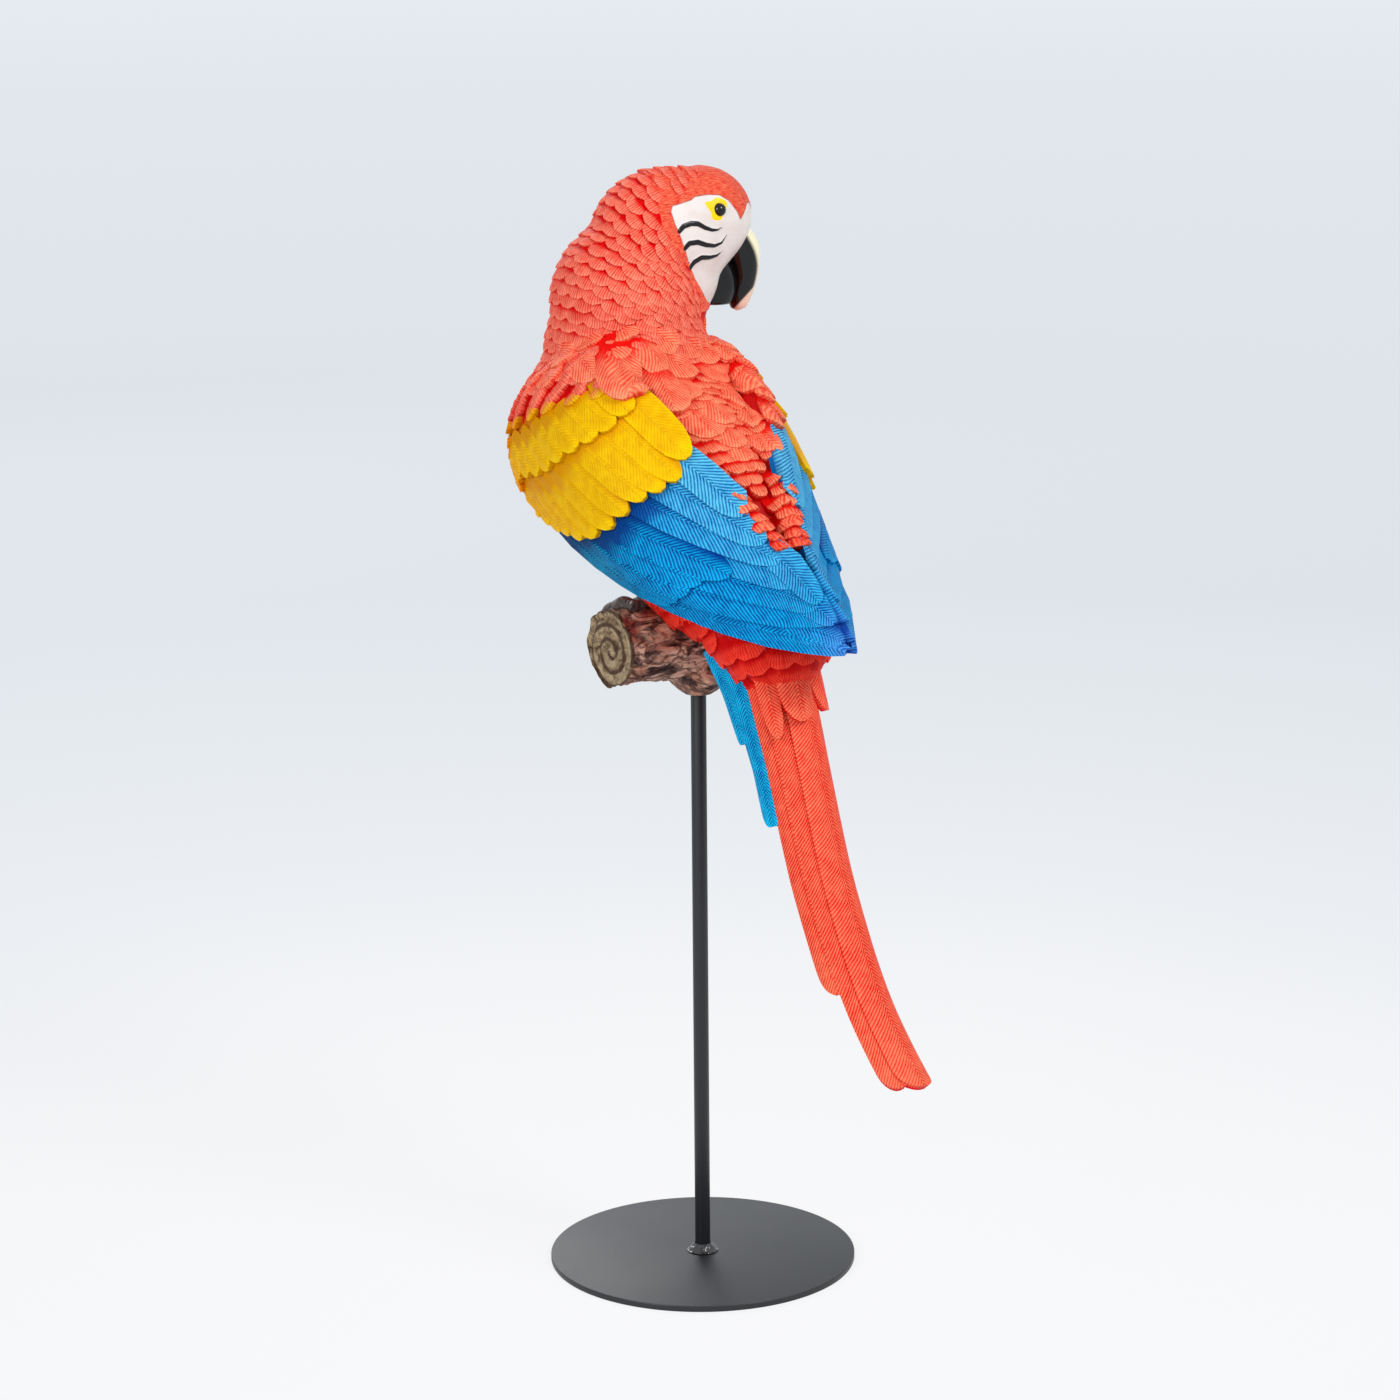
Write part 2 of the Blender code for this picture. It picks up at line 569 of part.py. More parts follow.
# Socket for the rod in the branch's boss
socket = bmesh.new()
bmesh.ops.create_cone(
    socket, cap_ends=True, segments=32, radius1=ROD_DIAMETER / 2 + FIT_GAP, radius2=ROD_DIAMETER / 2 + FIT_GAP,
    depth=ROD_IN_SOCKET * 2, matrix=Matrix.Translation(UP * (boss_bottom + FIT_GAP)),
)
socket_cutter = place("socket_cutter", socket, painted_resin)
socket_cutter.hide_render = True
socket_cutter.display_type = "WIRE"
bore = parrot.modifiers.new("rod_socket", "BOOLEAN")
bore.operation = "DIFFERENCE"
bore.solver = "EXACT"
bore.object = socket_cutter
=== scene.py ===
"""Painted resin parrot on a steel stand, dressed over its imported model.

Lengths are in metres and points of the bird in millimetres. The bird faces -Y, its left
side is +X, and its head is turned over its right shoulder.
"""

import math
import random

import bmesh
import bpy
from mathutils import Matrix, Vector, geometry, noise
from mathutils.bvhtree import BVHTree
from mathutils.kdtree import KDTree


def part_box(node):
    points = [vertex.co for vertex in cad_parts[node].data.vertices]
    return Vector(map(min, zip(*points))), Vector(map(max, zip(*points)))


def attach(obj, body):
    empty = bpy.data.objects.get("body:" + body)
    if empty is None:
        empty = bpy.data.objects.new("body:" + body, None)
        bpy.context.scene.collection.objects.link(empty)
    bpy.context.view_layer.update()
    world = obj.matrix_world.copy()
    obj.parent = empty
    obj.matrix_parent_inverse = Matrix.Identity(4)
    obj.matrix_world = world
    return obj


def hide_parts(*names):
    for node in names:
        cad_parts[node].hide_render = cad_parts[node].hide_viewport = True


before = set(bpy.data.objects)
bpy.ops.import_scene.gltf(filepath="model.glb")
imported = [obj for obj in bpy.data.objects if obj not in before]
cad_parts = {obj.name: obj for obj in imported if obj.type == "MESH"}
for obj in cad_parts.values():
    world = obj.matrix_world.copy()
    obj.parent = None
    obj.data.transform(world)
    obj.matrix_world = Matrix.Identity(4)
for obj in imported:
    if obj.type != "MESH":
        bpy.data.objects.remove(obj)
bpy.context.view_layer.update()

MM = 0.001
UP = Vector((0, 0, 1))
LEFT = Vector((1, 0, 0))
CREASE_ANGLE = 0.75  # radians: sharper edges are shaded as creases
SHARP_ANGLE = 1.0  # radians: the corners of a bar that are blunted


class Value:
    """A socket of a material's tree, on which sums can be written."""

    def __init__(self, tree, socket=None):
        self.tree = tree
        self.socket = socket

    def node(self, kind, settings=None, inputs=None, output=0):
        """Adds a node: its settings first, then its sockets' values or links. Gives one output."""
        made = self.tree.nodes.new("ShaderNode" + kind)
        for name, setting in (settings or {}).items():
            if name == "stops":
                ramp = made.color_ramp
                while len(ramp.elements) < len(setting):
                    ramp.elements.new(1.0)
                for element, (place, colour) in zip(ramp.elements, setting):
                    element.position = place
                    element.color = (*colour, 1.0)
            else:
                setattr(made, name, setting)
        for name, given in (inputs or {}).items():
            if isinstance(given, Value):
                self.tree.links.new(given.socket, made.inputs[name])
            else:
                made.inputs[name].default_value = given
        return Value(self.tree, made.outputs[output])

    def math(self, operation, *given):
        return self.node("Math", {"operation": operation}, dict(enumerate(given)))

    def __add__(self, other):
        return self.math("ADD", self, other)

    def __sub__(self, other):
        return self.math("SUBTRACT", self, other)

    def __rsub__(self, other):
        return self.math("SUBTRACT", other, self)

    def __mul__(self, other):
        return self.math("MULTIPLY", self, other)

    def __truediv__(self, other):
        return self.math("DIVIDE", self, other)

    __radd__ = __add__
    __rmul__ = __mul__

    def sin(self):
        return self.math("SINE", self)

    def size(self):
        return self.math("ABSOLUTE", self)

    def power(self, exponent):
        return self.math("POWER", self, exponent)

    def rise(self, low, high):
        """0 below low, 1 above high, smooth between."""
        return self.node("MapRange", {"interpolation_type": "SMOOTHSTEP"}, {0: self, 1: low, 2: high})

    def mix(self, first, second):
        """Blend of two colours, by this value from 0 to 1."""
        given = {0: self, 6: first, 7: second}
        for key in (6, 7):
            if not isinstance(given[key], Value):
                given[key] = (*given[key], 1.0)
        return self.node("Mix", {"data_type": "RGBA"}, given, output=2)

    def part(self, index):
        """One component of a vector."""
        return self.node("SeparateXYZ", None, {0: self}, output=index)

    def attribute(self, name, output=1):
        """A vector kept on the mesh, or with output 0 a colour."""
        return self.node("Attribute", {"attribute_name": name}, output=output)

    def noise(self, scale, detail=2.0, roughness=0.5, distortion=0.0):
        """Noise at this place."""
        return self.node("TexNoise", None, {
            "Vector": self, "Scale": scale, "Detail": detail, "Roughness": roughness,
            "Distortion": distortion,
        })

    def relief(self, depth, under=None):
        """Bump of this height from 0 to 1, worth depth in metres."""
        given = {"Height": self, "Distance": depth}
        if under is not None:
            given["Normal"] = under
        return self.node("Bump", None, given)


def colour(red, green, blue):
    """A colour as a painter reads it off a screen, 0 to 255, as the shader's linear values."""
    shares = [c / 255 for c in (red, green, blue)]
    return tuple(s / 12.92 if s <= 0.04045 else ((s + 0.055) / 1.055) ** 2.4 for s in shares)


def paint(name, roughness, specular=0.5, coat=0.0):
    """A new material, its object coordinates in metres, and a call that sets its shader."""
    made = bpy.data.materials.new(name)
    made.use_nodes = True
    shader = made.node_tree.nodes["Principled BSDF"]

    def set_shader(**given):
        for key, value in given.items():
            socket = shader.inputs[key.replace("_", " ")]
            if isinstance(value, Value):
                made.node_tree.links.new(value.socket, socket)
            else:
                socket.default_value = value

    set_shader(Roughness=roughness, Specular_IOR_Level=specular, Coat_Weight=coat, Coat_Roughness=0.1)
    return made, Value(made.node_tree).node("TexCoord", output=3), set_shader


def mesh_of(name, bm, material=None):
    """The mesh of a bmesh, which is freed."""
    mesh = bpy.data.meshes.new(name)
    bm.to_mesh(mesh)
    bm.free()
    if material:
        mesh.materials.append(material)
    return mesh


def add_object(name, content):
    made = bpy.data.objects.new(name, content)
    bpy.context.scene.collection.objects.link(made)
    return made


def place(name, bm, material, node="parrot_casting", slot="painted_resin"):
    """Makes the finished object of a bmesh, hangs it under the root body and hides the CAD part it
    stands for.
    """
    for face in bm.faces:
        face.smooth = True
    for edge in bm.edges:
        if len(edge.link_faces) == 2 and edge.calc_face_angle(0.0) > CREASE_ANGLE:
            edge.smooth = False
    made = add_object(name, mesh_of(name, bm, material))
    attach(made, "root")
    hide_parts(node)


def cylinder(radius, depth, middle, segments, blunt=0.0, steps=1):
    """A round bar on the Z axis, its corners blunted in steps."""
    bm = bmesh.new()
    bmesh.ops.create_cone(
        bm, cap_ends=True, segments=segments, radius1=radius, radius2=radius, depth=depth,
        matrix=Matrix.Translation(UP * middle),
    )
    if blunt:
        corners = [edge for edge in bm.edges if edge.calc_face_angle(0.0) > SHARP_ANGLE]
        bmesh.ops.bevel(
            bm, geom=corners, offset=blunt, offset_type="OFFSET", segments=steps, profile=0.5,
            affect="EDGES", material=-1,
        )
    return bm


# Base plate: a round blank of sheet steel, its edge just broken, powder coated
# satin black. The coat is even, with a very fine orange peel.
PLATE_RADIUS = 0.050
PLATE_THICKNESS = 0.002
black_coat, spot, set_shader = paint("satin_black_coat", 0.42)
cloud = spot.noise(30, 4)
set_shader(
    Base_Color=cloud.mix(colour(18, 20, 24), colour(29, 31, 36)),
    Roughness=0.36 + 0.12 * cloud,
    Normal=spot.noise(900, 3).relief(0.00003),
)
disc = cylinder(PLATE_RADIUS, PLATE_THICKNESS, PLATE_THICKNESS / 2, 192, 0.0003, 3)
place("base_plate_coated", disc, black_coat, "base_plate", "stand_paint")

# Rod: 5 mm bright steel bar, cut square, coated together with the plate. Its top
# is glued into the socket under the branch.
ROD_RADIUS = 0.0025
rod_low, rod_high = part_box("stand_rod")
rod = cylinder(ROD_RADIUS, rod_high.z - rod_low.z, (rod_high.z + rod_low.z) / 2, 64, 0.0002, 2)
place("stand_rod_coated", rod, black_coat, "stand_rod", "stand_paint")

# Weld: a short fillet run by hand round the rod's foot. It is lumpy, and the coat
# lies thick and glossy over it.
WELD_LUMP = 0.0003
WELD_INSIDE = ROD_RADIUS + 0.0002
weld_low, weld_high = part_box("weld_bead")
weld_reach = weld_high.x - WELD_LUMP
weld_height = weld_high.z - weld_low.z - WELD_LUMP
glossy_coat, spot, set_shader = paint("thick_black_coat", 0.16, coat=0.6)
drips = spot.noise(420, 3)
set_shader(Base_Color=drips.mix(colour(16, 16, 18), colour(40, 40, 43)), Normal=drips.relief(0.0003))
weld = bmesh.new()
profile = []
for k in range(9):
    share = k / 8
    bulge = 0.00045 * math.sin(math.pi * share)
    reach = WELD_INSIDE + (weld_reach - 0.0031) * (1 - math.cos(share * math.pi / 2)) + bulge
    height = weld_low.z + (weld_height - WELD_LUMP) * (1 - math.sin(share * math.pi / 2)) + bulge
    profile.append(weld.verts.new((reach, 0, height)))
profile.append(weld.verts.new((WELD_INSIDE, 0, weld_low.z)))
bead = [weld.edges.new(pair) for pair in zip(profile, profile[1:] + profile[:1])]
bmesh.ops.spin(
    weld, geom=bead, cent=(0, 0, 0), axis=UP, angle=math.tau, steps=96, use_merge=True,
)
bmesh.ops.recalc_face_normals(weld, faces=weld.faces)
for vert in weld.verts:
    reach = vert.co.to_2d().length
    if reach > WELD_INSIDE + 0.0001 and vert.co.z > weld_low.z + 0.00002:
        lump = noise.noise(vert.co * 900) + 0.6 * noise.noise(vert.co * 1900)
        vert.co += vert.co.normalized() * lump * WELD_LUMP
    vert.co.z = max(vert.co.z, weld_low.z)
    limit = min(1.0, weld_reach / max(reach, 1e-6))
    vert.co.x *= limit
    vert.co.y *= limit
place("weld_bead_coated", weld, glossy_coat, "weld_bead", "stand_paint")

# Branch: a short knobbly log, cast with the bird, with crumpled bark, a spiral
# carved in its cut ends and a small boss below that takes the rod.
BRANCH_HEIGHT = 0.2085
BRANCH_RADIUS = 0.01225
BRANCH_LENGTH = 0.070
BOSS_RADIUS = 0.0045
BOSS_HEIGHT = 0.014
BOSS_BOTTOM = BRANCH_HEIGHT - 0.018
SPIRAL_PITCH = 0.0046  # of the saw marks carved in the cut ends

bark, spot, set_shader = paint("painted_bark", 0.5, specular=0.3)
stretched = spot.node("Mapping", None, {"Vector": spot, "Scale": (0.35, 1, 1)})
grain = stretched.noise(300, 6, 0.68, 0.8)
patches = spot.noise(90, 4)
folds = stretched.noise(170, 3, 0.5, 1.2)
pits = (folds - 0.5).size().rise(0.0, 0.07)
y, z = spot.part(1), spot.part(2) - BRANCH_HEIGHT
reach = (y * y + z * z).power(0.5)
turn = spot.math("ARCTAN2", z, y) / math.tau
spiral = ((reach / SPIRAL_PITCH - turn + 0.25 * patches) * math.tau).sin().rise(-0.95, -0.2)
cut_end = spot.part(0).size().rise(BRANCH_LENGTH / 2 - 0.0016, BRANCH_LENGTH / 2 - 0.0009)
shade = grain.rise(0.38, 0.62) * (0.35 + 0.65 * pits)
bark_colour = shade.mix(colour(38, 10, 8), colour(222, 172, 146))
brown = shade.mix(colour(64, 22, 10), colour(170, 92, 62))
bark_colour = (patches.rise(0.45, 0.65) * 0.7).mix(bark_colour, brown)
overspray = z.rise(0.0, 0.011) * patches.rise(0.38, 0.56) * 0.8
bark_colour = overspray.mix(bark_colour, shade.mix(colour(30, 6, 6), colour(150, 30, 22)))
end_colour = (spiral * grain.rise(0.3, 0.62)).mix(colour(70, 44, 24), colour(172, 148, 112))
set_shader(
    Base_Color=cut_end.mix(bark_colour, end_colour),
    Roughness=0.62 - 0.3 * shade,
    Normal=(0.7 * grain + 0.5 * pits).relief(0.0007),
)

log = bmesh.new()
bmesh.ops.create_cone(
    log, cap_ends=False, segments=120, radius1=BRANCH_RADIUS, radius2=BRANCH_RADIUS,
    depth=BRANCH_LENGTH - 0.0006,
    matrix=Matrix.Translation(UP * BRANCH_HEIGHT) @ Matrix.Rotation(math.pi / 2, 4, "Y"),
)
lengthwise = [edge for edge in log.edges if abs(edge.verts[0].co.x - edge.verts[1].co.x) > 0.01]
bmesh.ops.subdivide_edges(log, edges=lengthwise, cuts=89)
for end in (-1, 1):
    rim = [edge for edge in log.edges if edge.is_boundary and edge.verts[0].co.x * end > 0]
    for share in (0.955, 0.88, 0.8, 0.72, 0.64, 0.56, 0.48, 0.4, 0.32, 0.24, 0.16, 0.08):
        grown = bmesh.ops.extrude_edge_only(log, edges=rim)["geom"]
        rim = [part for part in grown if isinstance(part, bmesh.types.BMEdge) and part.is_boundary]
        for vert in {vert for edge in rim for vert in edge.verts}:
            around = Vector((0, vert.co.y, vert.co.z - BRANCH_HEIGHT)).normalized()
            vert.co.y = around.y * BRANCH_RADIUS * share
            vert.co.z = BRANCH_HEIGHT + around.z * BRANCH_RADIUS * share
    bmesh.ops.holes_fill(log, edges=rim, sides=len(rim))
bmesh.ops.recalc_face_normals(log, faces=log.faces)
for vert in log.verts:
    around = Vector((0, vert.co.y, vert.co.z - BRANCH_HEIGHT))
    reach, turn = around.length, math.atan2(around.z, around.y) / math.tau
    around.normalize()
    near_end = abs(vert.co.x) > BRANCH_LENGTH / 2 - 0.001
    wave = noise.noise(Vector((vert.co.x * 60, around.y * 2.2, around.z * 2.2))) * 0.0016
    if near_end and reach < BRANCH_RADIUS * 0.99:
        wobble = 0.25 * noise.noise(vert.co * 70)
        groove = max(0.0, -math.sin(math.tau * (reach / SPIRAL_PITCH - turn + wobble))) ** 2
        rough = noise.noise(vert.co * 500) * 0.0002
        depth = (0.0011 * groove + rough) * min(1.0, (BRANCH_RADIUS - reach) / 0.0012)
        vert.co.x -= math.copysign(max(0.0, depth), vert.co.x)
        vert.co += around * wave * reach / BRANCH_RADIUS
    else:
        stretched = Vector((vert.co.x * 190, around.y * 4.2, around.z * 4.2))
        calm = 0.4 if near_end else 1.0
        crumple = noise.fractal(stretched, 0.7, 2.1, 5) * 0.0009 * calm
        crack = -abs(noise.noise(stretched * 0.8)) * 0.0010
        vert.co += around * (wave + crumple + crack - 0.0002)
    vert.co.z += 0.0012 * max(0.0, vert.co.x) / (BRANCH_LENGTH / 2)
place("branch_bark", log, bark)

boss = cylinder(BOSS_RADIUS, BOSS_HEIGHT, BOSS_BOTTOM + BOSS_HEIGHT / 2, 64)
sides = [edge for edge in boss.edges if abs(edge.verts[0].co.z - edge.verts[1].co.z) > 0.01]
bmesh.ops.subdivide_edges(boss, edges=sides, cuts=18)
for vert in boss.verts:
    share = (vert.co.z - BOSS_BOTTOM) / BOSS_HEIGHT
    if share > 0.03:
        flare = 0.0062 * min(1.0, share / 0.45) ** 0.8
        rough = noise.fractal(vert.co * 260, 0.7, 2.1, 4) * 0.0007
        vert.co += Vector((vert.co.x, vert.co.y, 0)).normalized() * (flare + rough)
place("branch_boss", boss, bark)

# Body: the bird's smooth form, one closed skin of resin. It shows only in the
# seams between the feathers, so it has the deep colour of the paint there, made darker as painted shade
# in the seams.


def bird(x, y, z):
    """A point of the bird in millimetres, z measured up from the branch's axis."""
    return Vector((x, y, z)) * MM + UP * BRANCH_HEIGHT


def bird_line(*spots):
    return [bird(*spot) for spot in spots]


HEAD_TURN = math.radians(105)
HEAD_CENTRE = bird(-19.3, -31.7, 124.5)
HEAD_FRONT = Vector((-math.sin(HEAD_TURN), -math.cos(HEAD_TURN), 0))
HEAD_RIGHT = HEAD_FRONT.cross(UP)


def head_point(forward, right, up):
    """A point in millimetres along the head's own directions, from its centre."""
    return HEAD_CENTRE + (HEAD_FRONT * forward + HEAD_RIGHT * right + UP * up) * MM


def head_place(point):
    """Forward, right and up of a point in the head's own millimetres."""
    offset = (point - HEAD_CENTRE) / MM
    return offset.dot(HEAD_FRONT), offset.dot(HEAD_RIGHT), offset.dot(UP)


def curve_point(points, t):
    """Point on the smooth curve through the points, t from 0 to 1."""
    last = len(points) - 1
    at = min(max(t, 0.0), 1.0) * last
    k = min(int(at), last - 1)
    f = at - k
    p1, p2 = points[k], points[k + 1]
    p0 = points[k - 1] if k else p1 * 2 - p2
    p3 = points[k + 2] if k + 2 <= last else p2 * 2 - p1
    return 0.5 * (p1 * 2 + (p2 - p0) * f + (p0 * 2 - p1 * 5 + p2 * 4 - p3) * f * f
                  + (p1 * 3 - p0 - p2 * 3 + p3) * f ** 3)


def ellipsoid(bm, centre, semi_axes, turn):
    size = Matrix.Diagonal((*[a * MM for a in semi_axes], 1.0))
    bmesh.ops.create_uvsphere(
        bm, u_segments=32, v_segments=16, radius=1.0,
        matrix=Matrix.Translation(centre) @ turn.to_4x4() @ size,
    )


def body_ellipsoid(bm, centre, semi_axes, slope=0.0):
    ellipsoid(bm, centre, semi_axes, Matrix.Rotation(math.radians(-slope), 3, "X"))


def head_ellipsoid(bm, forward, up, semi_axes):
    axes = Matrix((HEAD_FRONT, -HEAD_RIGHT, UP)).transposed()
    ellipsoid(bm, head_point(forward, 0, up), semi_axes, axes)


# Wings' outside: lines of points from the shoulder to the tip, outer edge first
WING_LINES = [
    bird_line((32, -48, 44.5), (35.5, -20, 33.5), (33.5, 14.5, 22.5), (21.5, 47, 13.5), (2, 74.5, 6)),
    bird_line((37, -49, 59), (39, -19, 45.5), (37, 14, 31.5), (22, 45.5, 20.5), (1.5, 75.5, 8.5)),
    bird_line((36.5, -44.5, 77.5), (39, -14, 67.5), (31, 16, 51), (14, 44.5, 28), (1, 75, 11)),
    bird_line((24, -37, 89), (25, -8, 85.5), (17, 17, 67.5), (5, 45, 39.5), (0.5, 74, 14)),
]


def wing_point(u, v, side=1):
    """Point on a wing's outside: u from shoulder to tip, v from outer edge to inner."""
    point = curve_point([curve_point(line, u) for line in WING_LINES], v)
    return Vector((point.x * side, point.y, point.z))


def wing_shell(bm, side):
    grid = bmesh.ops.create_grid(bm, x_segments=24, y_segments=12, size=1.0)
    for vert in grid["verts"]:
        vert.co = wing_point((vert.co.x + 1) / 2, (vert.co.y + 1) / 2, side)
    faces = list({face for vert in grid["verts"] for face in vert.link_faces})
    bmesh.ops.recalc_face_normals(bm, faces=faces)
    if sum(face.normal.x * face.calc_area() for face in faces) * side < 0:
        bmesh.ops.reverse_faces(bm, faces=faces)
    bmesh.ops.solidify(bm, geom=faces, thickness=0.005)


form = bmesh.new()
# Trunk from the belly up to the neck
for centre, semi_axes, slope in (
    ((0, -8, 47.5), (35, 64, 29), 41), ((0, -37, 64.5), (34, 34, 33), 0),
    ((0, -25, 54.5), (33, 46, 31), 41), ((0, 33, 15.5), (24, 27, 17), 50),
    ((0, 36, -4), (13, 12, 15), -15), ((0, -38, 87.5), (25, 26, 26), 0),
    ((0, -37, 103.5), (23.5, 24, 26), 0),
):
    body_ellipsoid(form, bird(*centre), semi_axes, slope)
# Head: nape, skull, brow, cheeks and throat
for forward, up, semi_axes in (
    (-15, -6, (16.5, 19.2, 22)), (-6, 0.8, (24, 17, 20.3)), (5.5, 4.7, (17.2, 14, 16.5)),
    (-3, -13, (14, 14, 15)), (-5, -24.5, (12, 13, 9)),
):
    head_ellipsoid(form, forward, up, semi_axes)
# Shoulders, which the turned neck pushes up
for centre, semi_axes in (
    ((-18, -29, 76), (20, 19, 16)), ((16, -27, 77), (18, 17, 15)),
    ((12.5, -21, 83.5), (14.5, 13.5, 13)),
):
    body_ellipsoid(form, bird(*centre), semi_axes)
wing_shell(form, 1)
wing_shell(form, -1)
carrier = add_object("bird_form", mesh_of("bird_form", form))
fuse = carrier.modifiers.new("fuse", "REMESH")
fuse.mode = "VOXEL"
fuse.voxel_size = 0.0015
soften = carrier.modifiers.new("soften", "SMOOTH")
soften.iterations = 10
depsgraph = bpy.context.evaluated_depsgraph_get()
smooth_form = bpy.data.meshes.new_from_object(carrier.evaluated_get(depsgraph))
bpy.data.objects.remove(carrier)
skin = bmesh.new()
skin.from_mesh(smooth_form)
skin_tree = BVHTree.FromBMesh(skin)


def snap(point):
    """Nearest point of the bird's form and the outward direction there."""
    location, normal, _, _ = skin_tree.find_nearest(point)
    return location, normal


def paints(*values):
    """A pair of paints: deep in the seams, and light on the ridges."""
    return colour(*values[:3]), colour(*values[3:])


RED = paints(218, 0, 5, 255, 148, 118)
TAIL_RED = paints(230, 4, 8, 255, 126, 92)
CORAL = paints(228, 14, 10, 255, 158, 118)
DEEP_RED = paints(196, 0, 2, 252, 70, 50)
ORANGE = paints(216, 84, 0, 246, 152, 4)
YELLOW = paints(208, 142, 0, 248, 206, 2)
AMBER = paints(204, 128, 0, 252, 200, 0)
BLUE = paints(0, 58, 138, 8, 170, 232)
PALE_BLUE = paints(0, 116, 184, 132, 228, 252)
TEAL = paints(0, 58, 108, 6, 154, 196)
SKY_BLUE = paints(0, 84, 162, 26, 200, 246)
VIOLET = paints(24, 66, 168, 92, 146, 232)


def blend(first, second, share):
    share = min(max(share, 0.0), 1.0)
    return tuple(tuple(a + (b - a) * share for a, b in zip(*pair)) for pair in zip(first, second))


def red_end(v):
    """How far down the wing the red goes, outer edge to inner."""
    return 0.01 if v < 0.45 else 0.01 + 0.6 * (v - 0.45)


def blue_paint(u, v):
    """Blue of the quills: teal by the yellow and the outer edge, pale inside, violet at the tips."""
    made = blend(TEAL, BLUE, 3.5 * (u - 0.3) + 0.8 * (v - 0.4))
    made = blend(made, PALE_BLUE, 2.2 * (v - 0.62) * (1 - u) * 2)
    return blend(made, VIOLET, (u - 0.92) * 8)


def wing_paint(u, v):
    """Paint of a wing at (u, v): red shoulder, yellow band, blue quills with violet tips."""
    if u < red_end(v):
        return DEEP_RED
    if u < (0.41 + 0.13 * v if v > 0.45 else 0.12 + 0.78 * v):
        return AMBER
    return blue_paint(u, v)


# Chart of both wings' outsides, by which a point finds its place on a wing
CHART_U, CHART_V = 60, 30
charted = [(k / CHART_U, j / CHART_V, side)
           for side in (1, -1) for k in range(CHART_U + 1) for j in range(CHART_V + 1)]
places = KDTree(len(charted))
for index, (u, v, side) in enumerate(charted):
    places.insert(wing_point(u, v, side), index)
places.balance()
ON_WING = 0.003  # metres from the chart

painted_skin, spot, set_shader = paint("painted_skin", 0.5, specular=0.15)
skin_low = spot.attribute("paint_low", 0)
grime = spot.noise(400, 3)
set_shader(Base_Color=(0.3 * grime).mix(skin_low, (0.1, 0.01, 0.01)), Normal=grime.relief(0.0002))
low_layer = skin.verts.layers.float_color.new("paint_low")
for vert in skin.verts:
    _, index, distance = places.find(vert.co)
    u, v, _ = charted[index]
    feathered = distance < 0.0035 and (v < 0.8 or u > 0.6)
    vert[low_layer] = (*(wing_paint(min(u, 0.9), v) if feathered else DEEP_RED)[0], 1.0)
place("body_skin", skin, painted_skin)

# Painted shade darkens each feather towards its root, where other feathers lie over it.
# Feathers: each is a low plate of resin with a sunk root, a raised tip and fine
# barbs carved on it. The paint is dark in the carving and light on the ridges.
# Outlines are pairs of share of the length and share of the half width.
SCALE_OUTLINE = [(0.0, 0.75), (0.45, 0.98), (0.68, 1.0), (0.88, 0.8), (1.0, 0.32)]
ROUND_OUTLINE = [(0.0, 0.6), (0.3, 0.85), (0.6, 1.0), (0.8, 0.95), (0.93, 0.7), (1.0, 0.32)]
QUILL_OUTLINE = [(0.0, 0.8), (0.2, 0.92), (0.4, 1.0), (0.6, 1.0), (0.76, 0.96), (0.88, 0.8),
                 (0.96, 0.52), (1.0, 0.2)]
BARB_PITCH = 0.9  # of parallel barbs, in millimetres
FAN_PITCH = 0.8  # of fanned barbs
RAYS = 90  # cast round the form to find a row's places
# Shares of the length between which the paint comes out of the painted shade of the feathers over it
SHADED_BUT_TIP, SHADED_ROOT, UNSHADED = (0.46, 0.74), (0.15, 0.4), (-2, -1)

feather_paint, spot, set_shader = paint("feather_paint", 0.4, specular=0.05)
barb, layout = spot.attribute("barb"), spot.attribute("layout")
low, high = spot.attribute("paint_low", 0), spot.attribute("paint_high", 0)
wander = spot.noise(330, 2)
fine = spot.noise(1500, 2)
phase = barb.part(0) + 0.7 * wander
ridge = ((phase * math.tau).sin() * 0.5 + 0.5).power(0.7)
off_shaft = barb.part(1).size()
shaft = 1 - off_shaft.rise(0.15, 0.5)
groove = off_shaft.rise(0.2, 0.55) * (1 - off_shaft.rise(0.6, 1.3)) * layout.part(0).rise(0.05, 0.3)
rim = layout.part(1).size().rise(0.7, 1.0)
tip = layout.part(0).rise(0.8, 1.0)
# bare fades out the painted shade that darkens a feather where other feathers lie over it
bare = barb.part(2).rise(0.0, 1.0)
strength = layout.part(2)
carved = 1 - strength * (1 - ridge)
height = 0.6 * carved + 0.3 * shaft - 0.15 * strength * groove
light = bare * (0.17 + 0.44 * ridge * strength + 0.22 * (1 - strength) + 0.12 * tip + 0.05 * rim)
light = light + 0.4 * (wander - 0.5) + 0.2 * strength * (fine - 0.5) - 0.1 * strength * groove
light = light.rise(0.06, 0.8)
set_shader(
    Base_Color=light.mix(low, high),
    Roughness=0.38 + 0.2 * wander,
    Normal=height.relief(0.00042, fine.relief(0.00005)),
)


